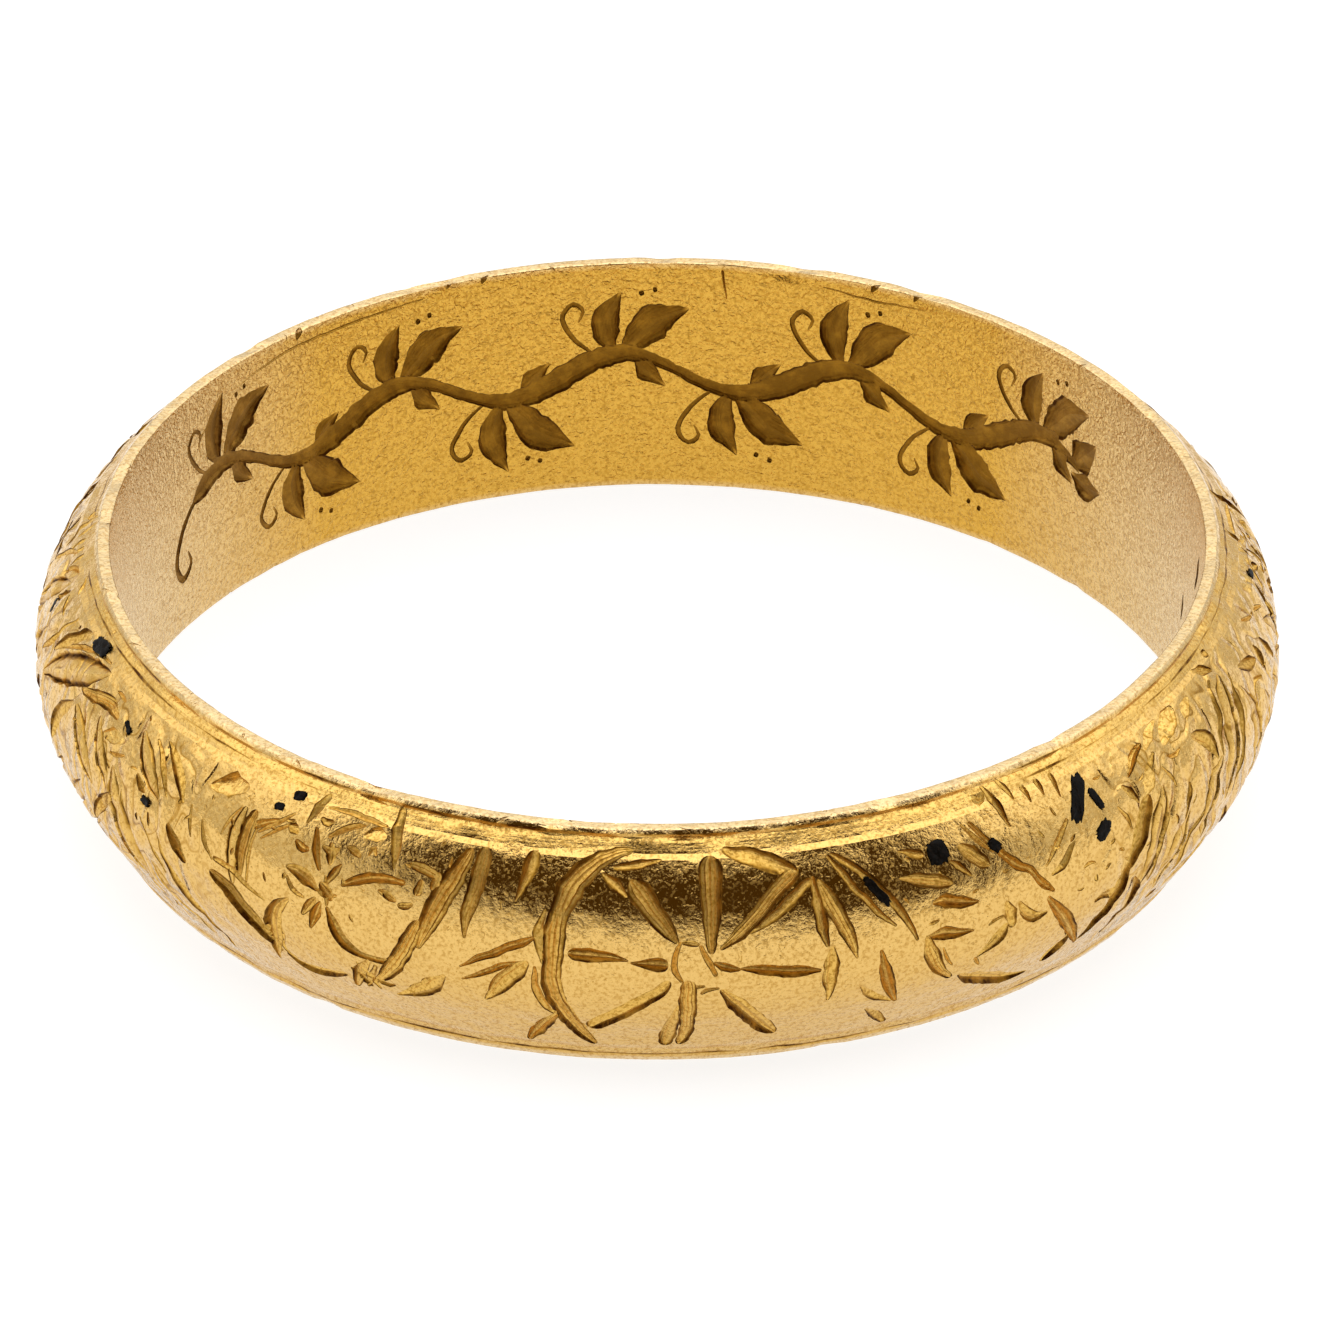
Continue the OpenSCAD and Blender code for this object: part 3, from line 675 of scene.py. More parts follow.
def outsideCuts():
    cuts = []
    for chart, centre, turn, stretch, side in chartPlaces:
        for kind, *marks in chart:
            placed = [
                (((deg - centre) * stretch * side + centre + turn) * crownStep, s, graver["widened"] * width)
                for deg, s, width in marks
            ]
            middle = sum(p[0] for p in placed) / len(placed)
            around = round(middle / (2 * halfTurn)) * 2 * halfTurn
            placed = [(x - around, s, width) for x, s, width in placed]
            if side < 0:
                placed.reverse()
            cuts.append(makeCut(kind, placed, graver["stepBehind"] if turn else graver["step"]))
    return cuts


# Small marks between the charted ones: degrees from and to, mm up the section from and to, and how many.
smallMarks = {
    "seed": 11,
    "places": (
        (-90, -64, -1.7, 1.7, 9),
        (-63, -46, 0.5, 1.75, 9),
        (-62, -46, -1.8, 0.4, 6),
        (-44, -28, 0.2, 1.7, 10),
        (-28, -18, 1.3, 1.8, 3),
        (23, 34, 0.1, 1.5, 6),
        (34, 48, -0.1, 1.6, 12),
        (50, 66, -0.2, 1.7, 6),
        (66, 90, -1.8, 1.7, 9),
        (94, 266, -1.7, 1.7, 60),
    ),
    "length": (0.08, 0.24),
    "width": (0.05, 0.1),
}


def betweenCuts():
    dice = random.Random(smallMarks["seed"])
    cuts = []
    for left, right, low, high, count in smallMarks["places"]:
        for unused in range(count):
            x = dice.uniform(left, right) * crownStep
            x -= round(x / (2 * halfTurn)) * 2 * halfTurn
            s = dice.uniform(low, high)
            turn = dice.uniform(0, math.pi)
            length = dice.uniform(*smallMarks["length"])
            dx, ds = length / 2 * math.cos(turn), length / 2 * math.sin(turn)
            bend = dice.uniform(-0.25, 0.25)
            marks = (
                (x - dx, s - ds, 0.03),
                (x - bend * ds, s + bend * dx, dice.uniform(*smallMarks["width"])),
                (x + dx, s + ds, 0.03),
            )
            cuts.append(makeCut(dice.choice(("gouge", "leaf", "line")), marks))
    return cuts


# Small knocks over the edges of both rims, and larger ones at the back of the top rim's inner edge as
# degrees, width and reach. Most lie on the top rim, whose outer and inner edge are 0 and 1.
rimKnocks = {
    "seed": 7,
    "count": 48,
    "edges": (0, 1, 0, 1, 2, 3),
    "widths": (0.03, 0.04, 0.05, 0.05, 0.07, 0.1),
    "lean": 0.12,
    "reach": (0.04, 0.11),
    "large": ((222, 0.2, 0.14), (199, 0.13, 0.1), (203, 0.09, 0.08), (156, 0.16, 0.12), (151, 0.1, 0.1)),
}


def rimNicks():
    dice = random.Random(rimKnocks["seed"])
    edges = (topEnd + 0.03, innerTop - 0.04, innerLow + 0.04, seamS + band["rimWidth"] / 2 - 0.02)
    cuts = []
    for i in range(rimKnocks["count"]):
        edge = edges[rimKnocks["edges"][i % 6]]
        x = dice.uniform(-halfTurn + 0.3, halfTurn - 0.3)
        width = dice.choice(rimKnocks["widths"])
        lean = dice.uniform(-rimKnocks["lean"], rimKnocks["lean"])
        reach = min(dice.uniform(*rimKnocks["reach"]), edge - seamS - 0.015)
        marks = (x - lean, edge - reach, 0.01), (x, edge, width), (x + lean, edge + reach, 0.01)
        cuts.append(makeCut("nick", marks))
    for deg, width, reach in rimKnocks["large"]:
        x = (deg if deg < 180 else deg - 360) * crownStep
        marks = (x - 0.1, innerTop - reach, 0.02), (x, innerTop, width), (x + 0.06, innerTop + reach, 0.02)
        cuts.append(makeCut("nick", marks))
    return cuts


# Leafy vine on the inside wall. Sizes in mm; span and period in degrees round the back of the ring. It is
# charted as it is seen from the front: degrees to the right of the back, mm above the middle.
vine = {"left": -60, "right": 52, "fromTop": 2.05, "period": 25, "rise": 0.36, "stem": 0.46, "leaf": 0.72}
leafWidth = vine["leaf"]

# A sprig at a bend of the stem: kind, whether it is larger on some sprigs, and marks from the bend,
# degrees to the right and mm outward: two leaves, a small one, a curled tendril and two berries.
sprig = (
    (
        "vineLeaf", True,
        (-0.4, 0, 0.05), (1.6, 0.32, leafWidth * 0.8), (3.6, 0.62, leafWidth), (7.2, 0.86, 0.02),
    ),
    (
        "vineLeaf", True,
        (-0.8, 0, 0.05), (-1.8, 0.36, leafWidth * 0.7), (-1.7, 0.72, leafWidth * 0.8), (-0.2, 1.18, 0.02),
    ),
    ("vineLeaf", False, (1.2, -0.08, 0.04), (2.6, -0.36, leafWidth * 0.62), (4.6, -0.62, 0.02)),
    (
        "stem", False,
        (-2.6, -0.06, 0.05), (-5.2, 0.3, 0.09), (-6.6, 0.72, 0.1), (-5.6, 0.98, 0.09), (-4.3, 0.86, 0.08),
        (-4.8, 0.64, 0.03),
    ),
    ("gouge", False, (1.8, 1.12, 0.1), (2.3, 1.16, 0.1)),
    ("gouge", False, (3.2, 1.2, 0.1), (3.7, 1.22, 0.09)),
)
insideMarks = (
    # a crack from the rim, thin scratches along it, and two old knocks at the right
    ("line", (7.0, 1.96, 0.05), (7.2, 1.7, 0.05), (7.5, 1.42, 0.02)),
    ("line", (-52.0, 1.62, 0.02), (-44.0, 1.8, 0.05), (-34.0, 1.84, 0.05), (-26.0, 1.9, 0.02)),
    ("line", (-55.0, 1.1, 0.02), (-57.0, 1.24, 0.05), (-58.4, 1.04, 0.05), (-58.0, 0.8, 0.02)),
    ("line", (18.0, 1.86, 0.02), (24.0, 1.78, 0.05), (30.0, 1.84, 0.02)),
    ("gouge", (84.0, 1.1, 0.04), (83.0, 0.8, 0.16), (82.2, 0.5, 0.12), (81.4, 0.26, 0.04)),
    ("gouge", (76.2, -0.3, 0.04), (75.9, -0.56, 0.1), (75.5, -0.84, 0.04)),
)
# two leaves at its right end and a curl at its left end, in degrees from that end
vineEnds = (
    ("vineLeaf", "right", (-1.4, 0.1, 0.05), (0.4, 0.36, leafWidth), (2.8, 0.74, 0.02)),
    ("vineLeaf", "right", (-1.4, -0.04, 0.05), (0.8, -0.18, leafWidth * 0.8), (3.6, -0.1, 0.02)),
    (
        "stem", "left",
        (1.0, 0.1, 0.1), (-2.0, -0.3, 0.14), (-3.4, -0.86, 0.16), (-2.0, -1.24, 0.14), (-0.4, -1.02, 0.1),
        (-1.0, -0.78, 0.04),
    ),
)


def vineCuts():
    middle = innerTop + vine["fromTop"]
    ends = vine["left"], vine["right"]

    def phase(a):
        return 2 * math.pi * (a - vine["left"]) / vine["period"]

    stem = []
    for a in range(vine["left"], vine["right"] + 1, 2):
        width = vine["stem"] * (0.72 + 0.28 * math.cos(phase(a)))  # a broad nib is thickest on the way up
        stem.append((a, vine["rise"] * math.sin(phase(a)), 0.02 if a in ends else width))
    charted = [("stem", *stem)]
    for i in range(9):
        a = vine["left"] + vine["period"] * (0.25 + 0.5 * i)
        if a > vine["right"] - 3:
            break
        v = vine["rise"] * math.sin(phase(a))
        up = -1 if i % 2 else 1
        for kind, grows, *marks in sprig:
            big = 1.15 if grows and i % 3 == 0 else 1
            charted.append((kind, *((a + deg, v + out * up * big, width) for deg, out, width in marks)))
    charted.extend(insideMarks)
    for kind, end, *marks in vineEnds:
        charted.append((kind, *((vine[end] + deg, v, width) for deg, v, width in marks)))
    return [
        makeCut(kind, [((180 - a) * crownStep, middle - v, width) for a, v, width in marks])
        for kind, *marks in charted
    ]


# Patches of black enamel left in their cells: degrees, mm up the section, length, width, turn from level.
enamel = {
    "cellDepth": 0.06,
    "gap": 0.012,
    "sides": 32,
    "round": 0.55,
    "raggedness": 0.34,
    "patches": (
        (-72, 1.84, 0.6, 0.3, 8),
        (-60.5, 1.35, 0.3, 0.13, -31),
        (-54.4, 0.54, 0.26, 0.16, -10),
        (-38.6, 1.58, 0.22, 0.14, 10),
        (-37, 1.86, 0.26, 0.18, 10),
        (20.5, 1.01, 0.66, 0.18, -54),
        (27.1, 1.39, 0.4, 0.43, 3),
        (33, 1.23, 0.28, 0.2, -50),
        (43.5, 1.42, 0.9, 0.3, 57),
        (45.5, 1.27, 0.44, 0.17, -72),
        (45.2, 0.75, 0.42, 0.27, 35),
        (88.8, 1.5, 0.3, 0.14, 0),
        (144.2, 1.4, 0.3, 0.3, 0),
        (158, 1.38, 0.5, 0.2, 50),
        (203.2, 1.52, 0.26, 0.16, -10),
        (274.6, 1.2, 0.3, 0.16, -65),
    ),
}


def patchOutline(row, grow):
    deg, s, length, width, turn = row
    points = []
    for i in range(enamel["sides"]):
        a = 2 * math.pi * i / enamel["sides"]
        part = [math.copysign(abs(v) ** enamel["round"], v) for v in (math.cos(a), math.sin(a))]
        bite = abs(noise.noise(Vector((3 * math.cos(a) + deg, 3 * math.sin(a), s))))
        rough = 1 - enamel["raggedness"] * bite
        x = (length / 2 * rough + grow) * part[0]
        y = (width / 2 * rough + grow) * part[1]
        c, k = math.cos(math.radians(turn)), math.sin(math.radians(turn))
        points.append((deg * crownStep + x * c - y * k, s + x * k + y * c))
    return np.array(points)


def insideOutline(outline, points):
    # even-odd test of many points against one closed outline
    x, y = points[:, 0], points[:, 1]
    inside = np.zeros(len(points), bool)
    ax, ay = outline[-1]
    for bx, by in outline:
        crosses = (by > y) != (ay > y)
        with np.errstate(divide="ignore", invalid="ignore"):
            inside ^= crosses & (x < (ax - bx) * (y - by) / (ay - by) + bx)
        ax, ay = bx, by
    return inside


def turnedTo(row, points):
    # the points moved a whole turn, if that brings them nearer to the patch
    moved = points.copy()
    moved[:, 0] += np.round((row[0] * crownStep - points[:, 0]) / (2 * halfTurn)) * 2 * halfTurn
    return moved


# The band's mesh is drawn flat, x round the crown and s round the section, with the cuts' lines in it.
def stops(marks):
    # marks are (place, step) pairs: even steps of about that size from each place to the next
    rows = []
    for (a, step), (b, unused) in zip(marks[:-1], marks[1:]):
        count = max(1, round((b - a) / step))
        rows.extend(a + (b - a) * i / count for i in range(count))
    rows.append(marks[-1][0])
    return rows


def bandRows():
    # places of the mesh's rows round the section, closer at the borders and the rims' edges
    rows = stops([
        (seamS, 0.05), (seamS + band["rimWidth"] / 2 - band["outerEdgeRound"], 0.02),
        (seamS + band["rimWidth"] / 2 + 0.03, 0.02), (-2.42, 0.05),
    ])
    rows += [s for s, depth in borderLines if s < 0]
    rows += stops([(-1.98, 0.13), (1.76, 0.06)])
    rows += [s for s, depth in borderLines if s > 0]
    rows += stops([
        (2.29, 0.02), (sectionRows[3][0], 0.05), (sectionRows[4][0], 0.016), (innerTop, 0.1),
        (innerTop + 0.3, 0.22), (innerLow - 0.3, 0.1), (innerLow, 0.016),
        (sectionRows[7][0], 0.05), (seamS + sectionLength, 0.05),
    ])
    kept = [rows[0]]
    for s in rows[1:]:
        if s > kept[-1] + 0.004:
            kept.append(s)
    return kept


def waver(x, s):
    # the hand-cut border lines run a little up and down
    if not -2.45 < s < 2.28 or -1.9 < s < 1.7:
        return 0.0
    return band["waver"] * (bandNoise(x, 0.0, 0.9, 5) + 0.6 * bandNoise(x, 0.0, 3.1, 9))


def bandMesh(cuts):
    columns = np.linspace(-halfTurn, halfTurn, band["columns"] + 1)
    rows = bandRows()
    wide = len(columns)
    flat = np.array([(x, s) for s in rows for x in columns])
    points = np.array([(x, s + waver(x, s)) for x, s in flat])
    edges = []
    border = {s for s, depth in borderLines}
    for j, s in enumerate(rows):
        if s in border:
            edges.extend((j * wide + i, j * wide + i + 1) for i in range(wide - 1))

    # cuts over the seam are repeated at its other end
    for cut in list(cuts):
        xs = cut["line"][:, 0]
        for turn in (-2 * halfTurn, 2 * halfTurn):
            if xs.max() + turn > -halfTurn - 0.5 and xs.min() + turn < halfTurn + 0.5:
                cuts = cuts + [dict(cut, line=cut["line"] + (turn, 0))]

    # lattice points in or beside a cut or a cell go, apart from those of the border lines and the seams
    owner = cutDepths(cuts, points, 0.025)[1]
    onBorder = np.array([s in border for s in flat[:, 1]])
    onSeam = np.abs(flat[:, 0]) > halfTurn - 1e-6
    onSeam |= (flat[:, 1] < rows[0] + 1e-6) | (flat[:, 1] > rows[-1] - 1e-6)
    keep = (owner < 0) | onBorder | onSeam
    for row in enamel["patches"]:
        keep &= ~insideOutline(patchOutline(row, 0.03), turnedTo(row, points)) | onSeam
    number = np.cumsum(keep) - 1
    verts = [points[keep]]
    edges = [(number[a], number[b]) for a, b in edges if keep[a] and keep[b]]
    count = int(keep.sum())
    a, b, c, d = (number[k] for k in (0, wide - 1, len(flat) - wide, len(flat) - 1))
    edges += [(a, b), (b, d), (d, c), (c, a)]
    for cut in cuts:
        more, chain = cutLines(cut)
        verts.append(more)
        edges.extend((i + count, j + count) for i, j in chain)
        count += len(more)
    for row in enamel["patches"]:
        for grow in (0, -0.006):
            loop = patchOutline(row, grow)
            loop[:, 0] -= np.round(loop[:, 0].mean() / (2 * halfTurn)) * 2 * halfTurn
            n = len(loop)
            verts.append(loop)
            edges.extend((count + i, count + (i + 1) % n) for i in range(n))
            count += n
    verts = np.concatenate(verts)
    print("band: rows", len(rows), "cuts", len(cuts), "points", len(verts), "edges", len(edges))

    coords, outEdges, faces = delaunay_2d_cdt(
        [Vector(v) for v in verts], [(int(i), int(j)) for i, j in edges], [], 0, 1e-5, False
    )[:3]
    flat = np.array([(v[0], v[1]) for v in coords])
    faces = np.array([f for f in faces if len(f) == 3])
    centres = flat[faces].mean(axis=1)
    good = (np.abs(centres[:, 0]) < halfTurn) & (centres[:, 1] > rows[0]) & (centres[:, 1] < rows[-1])
    return flat, faces[good], cuts


def surfaceDents(x, s):
    # slow unevenness of the hammered band, and wear of the rims' edges; never outside the plain form
    slow = 0.5 + 0.5 * bandNoise(x, s, 0.45, 1)
    fine = 0.5 + 0.5 * bandNoise(x, s, 2.2, 2)
    lift = -band["dent"] * slow - band["smallDent"] * fine
    if topEnd - 0.12 < s < innerTop + 0.12 or s < seamS + 0.25 or s > innerLow - 0.05:
        bite = max(0.0, bandNoise(x, s, 1.7, 3) - 0.25)
        lift -= band["rimBite"] * bite + band["rimWear"] * abs(bandNoise(x, s, 2.4, 4))
    return lift


def hollows(x, s):
    # the ground between the leaves is chased down in winding hollows, but worn nearly flat at the front
    if not band["groundLow"] < s < band["groundHigh"]:
        return 0.0
    away = min(1.0, max(0.12, (abs(x) / crownStep - band["chasedFrom"]) / band["chasedOver"]))
    fade = min(1.0, (band["groundHigh"] - s) / 0.2, (s - band["groundLow"]) / 0.2)
    ridges = abs(bandNoise(x, s, 1.5, 12)) + 0.4 * abs(bandNoise(x, s, 2.6, 13))
    return band["relief"] * away * fade * max(0.0, 1 - 2 * ridges)


def borderDepth(s):
    return np.interp(s, [a for a, b in borderLines], [b for a, b in borderLines], left=0, right=0)


def bandLift(flat, cuts):
    # how far each point lies off the plain surface, how deep it is cut, and how much tarnish and painted
    # shade its depth gives it
    depth, owner = cutDepths(cuts, flat)
    border = borderDepth(flat[:, 1])
    cell = np.zeros(len(flat))
    for row in enamel["patches"]:
        inside = insideOutline(patchOutline(row, -0.004), turnedTo(row, flat))
        cell[inside] = enamel["cellDepth"]
    lift = np.zeros(len(flat))
    hollow = np.zeros(len(flat))
    for i, (x, s) in enumerate(flat):
        if border[i]:
            border[i] *= 0.85 + 0.7 * bandNoise(x, s, 2.5, 6)
        lift[i] = surfaceDents(x, s)
        hollow[i] = hollows(x, s)
    tarnish = np.array([cut["tarnish"] for cut in cuts] + [1.0])[owner]
    # tarnish as a share of how deep a cut, border line or hollow is, which also stands for painted shade
    # there
    stainedAndShaded = np.maximum(np.maximum(depth * tarnish, 0.4 * border), np.maximum(cell, 0.5 * hollow))
    depth = np.maximum(np.maximum(depth, border), cell)
    return lift - depth - hollow, stainedAndShaded


def addPiece(mesh, sharpest):
    # an object of the mesh's name, smooth but for the edges that turn by more than this many degrees
    for polygon in mesh.polygons:
        polygon.use_smooth = True
    mesh.set_sharp_from_angle(angle=math.radians(sharpest))
    piece = bpy.data.objects.new(mesh.name, mesh)
    bpy.context.collection.objects.link(piece)
    print(mesh.name, "has", len(mesh.polygons), "faces")
    return piece


def makeBand(cuts):
    flat, faces, cuts = bandMesh(cuts)
    lift, stainedAndShaded = bandLift(flat, cuts)
    places = placeOnBand(flat[:, 0], flat[:, 1], lift)

    # each corner of a cut's face knows where it lies along and across the graver's stroke
    centres = flat[faces].mean(axis=1)
    owner = cutDepths(cuts, centres)[1]
    grain = np.zeros((len(faces), 3, 3))
    grain[:, :, :2] = flat[faces]
    x, s = flat.T
    away = np.abs(x) / crownStep  # degrees from the front
    floorLine = sum((centres[:, 1] > low) & (centres[:, 1] < high) for low, high in borderFloors)
    inStroke = np.repeat(band["borderFinish"] * floorLine[:, None], 3, axis=1)
    patchy = np.array([0.92 + 0.5 * bandNoise(k, 0.0, 1.6, 21) for k in x])
    # dark lines of tarnish and painted shade along the border lines, and near the walls of each cut
    lines = np.zeros(len(flat))
    for at, half, front in borderDirtAndShade:
        lines = np.maximum(lines, np.clip((away - 22) / 20, front, 1) * np.exp(-(((s - at) / half) ** 2)))
    wall = (lines * patchy)[faces]
    for i, cut in enumerate(cuts):
        mine = np.nonzero(owner == i)[0]
        if not len(mine):
            continue
        d, q, side = inCut(cut, flat[faces[mine]].reshape(-1, 2))[:3]
        grain[mine, :, 0] = d.reshape(-1, 3) + 7.3 * i
        grain[mine, :, 1] = side.reshape(-1, 3)
        grain[mine, :, 2] = i
        inStroke[mine] = band["lightCutFinish"] if cut["ridge"] or cut["tarnish"] < 1 else 1
        # painted shade and tarnish darken a cut towards its walls, and a ridge towards its grooves
        edge = np.clip(np.abs(q), 0, 1)
        if cut["ridge"]:
            edge = 0.6 + 0.4 * np.interp(q, [k for k, v in cut["across"]], [v for k, v in cut["across"]])
        wall[mine] = (edge * (1 if cut["tarnish"] == 1 else band["lightCutWall"])).reshape(-1, 3)
    inside = np.clip((s - innerTop + 0.05) / 0.1, 0, 1) * np.clip((innerLow + 0.05 - s) / 0.1, 0, 1)
    # the rims: their metal is painted paler, partly rubbed and partly a painted highlight
    rim = np.clip(np.maximum(s - 2.25, -2.44 - s) / 0.05, 0, 1)
    chased = np.clip((away - band["chasedFrom"]) / band["chasedOver"], 0.1, 1)
    chased *= np.clip((band["groundHigh"] - s) / 0.12, 0, 1) * np.clip((s - band["groundLow"]) / 0.12, 0, 1)

    mesh = bpy.data.meshes.new("engraved_band")
    mesh.from_pydata(places.tolist(), [], faces.tolist())
    for name, domain, values in (
        ("depth", "POINT", stainedAndShaded),
        ("inside", "POINT", inside),
        ("rim", "POINT", rim),
        ("chased", "POINT", chased),
        ("grain", "CORNER", grain),
        ("cut", "CORNER", inStroke),
        ("wall", "CORNER", wall),
    ):
        kind, field = ("FLOAT_VECTOR", "vector") if name == "grain" else ("FLOAT", "value")
        mesh.attributes.new(name, kind, domain).data.foreach_set(field, values.reshape(-1).astype(np.float32))

    work = bmesh.new()
    work.from_mesh(mesh)
    seam = [v for v in work.verts if v.is_boundary]
    bmesh.ops.remove_doubles(work, verts=seam, dist=4e-7)
    loose = [v for v in work.verts if not v.link_faces]
    bmesh.ops.delete(work, geom=loose, context="VERTS")
    work.to_mesh(mesh)
    print("band: open edges", sum(not e.is_manifold for e in work.edges))
    work.free()
    return addPiece(mesh, 12)


def makeEnamel():
    # one block for each patch, a little under flush in its cell, its top worn and pitted
    verts = []
    faces = []
    low = enamel["gap"] / 2 - enamel["cellDepth"]
    for row in enamel["patches"]:
        outline = patchOutline(row, -enamel["gap"])
        middle = outline.mean(axis=0)
        n = len(outline)
        first = len(verts)
        verts.extend(placeOnBand(x, s, low) for x, s in outline)
        for share, drop in ((1.0, 0.006), (0.93, 0.001), (0.72, 0), (0.46, 0), (0.2, 0)):
            for x, s in middle + (outline - middle) * share:
                pit = min(0.35, max(0.0, noise.noise(Vector((9 * x, 9 * s, 4))) - 0.05))
                verts.append(placeOnBand(x, s, -enamel["gap"] - drop - 0.05 * pit))
        centre = len(verts)
        verts.append(placeOnBand(*middle, -enamel["gap"]))
        verts.append(placeOnBand(*middle, low))
        for i in range(n):
            j = (i + 1) % n
            for a in range(first, centre - n, n):
                faces.append((a + i, a + j, a + n + j, a + n + i))
            faces.append((centre - n + i, centre - n + j, centre))
            faces.append((first + j, first + i, centre + 1))
    mesh = bpy.data.meshes.new("enamel_patches")
    mesh.from_pydata([tuple(v) for v in verts], [], faces)
    return addPiece(mesh, 35)


# Materials
def linear(hexColour):
    # sRGB hex to the linear values that Blender works in
    parts = [int(hexColour[i : i + 2], 16) / 255 for i in (1, 3, 5)]
    return tuple(v / 12.92 if v <= 0.04045 else ((v + 0.055) / 1.055) ** 2.4 for v in parts) + (1.0,)


def addNode(tree, kind, settings=None, links=None):
    # Settings are the node's own choices or its sockets' values. A link is a node, or a node and the name
    # of its output.
    node = tree.nodes.new("ShaderNode" + kind)

    def socketOf(sockets, key):
        if isinstance(key, int):
            return sockets[key]
        return next(s for s in sockets if s.enabled and key in (None, s.name))

    for key, value in (settings or {}).items():
        if isinstance(key, str) and hasattr(node, key):
            setattr(node, key, value)
        else:
            socketOf(node.inputs, key).default_value = value
    for key, source in (links or {}).items():
        origin, output = source if isinstance(source, tuple) else (source, None)
        tree.links.new(socketOf(origin.outputs, output), socketOf(node.inputs, key))
    return node


def emptyNodes(block):
    # clears the nodes of a material or a world, and gives what adds one to it
    block.use_nodes = True
    block.node_tree.nodes.clear()
    return partial(addNode, block.node_tree)


inMillimetres = {"Scale": (1 / mm, 1 / mm, 1 / mm)}


# 22-carat gold, cut by hand with gravers and worn smooth on the finger: a deep yellow metal whose
# polished ground mirrors the studio, with softer striped cuts and brown tarnish where a cloth can't reach;
# the brown in the cuts, creases and hollows is also painted shade, and the rims and the inside's sides are
# painted paler, a painted highlight and sheen. Sizes and heights in mm; the dirt and painted shade are a
# share of the darkest tarnish.
goldFinish = {
    "polished": "#E2B96D",
    "unpolished": "#DFAE4A",
    "brightCut": "#E9BE62",
    "rubbed": "#E8CB96",
    "amberFilm": "#B07E20",
    "tarnish": "#4E2A08",
    "groundRoughness": 0.08,
    "grainRoughness": 0.34,
    "cutRoughness": 0.44,
    "insideRoughness": 0.26,
    "dirtRoughness": 0.25,
    "floorDirt": 0.1,
    "vineDirt": 0.74,
    "pitDirt": 0.45,
    "creaseDirt": 0.65,
    "groundDust": 0.3,
    "cutDust": 0.44,
    "blotch": 0.3125,
    "speckle": 0.06,
    "speckleHeight": 0.009,
    "wave": 0.3,
    "waveHeight": 0.02,
    "striation": 0.035,
    "striationLength": 1 / 2.2,
    "striationHeight": 0.014,
    "wormSize": 0.12,
    "wormHeight": 0.03,
    "body": 0.5,
    "bodyHeight": 0.036,
    "pit": 0.1,
    "pitHeight": 0.008,
    # mm to each side from which the inside is painted paler, a painted sheen
    "rubbedFrom": 5.5,
    "rubbedTo": 8.5,
}


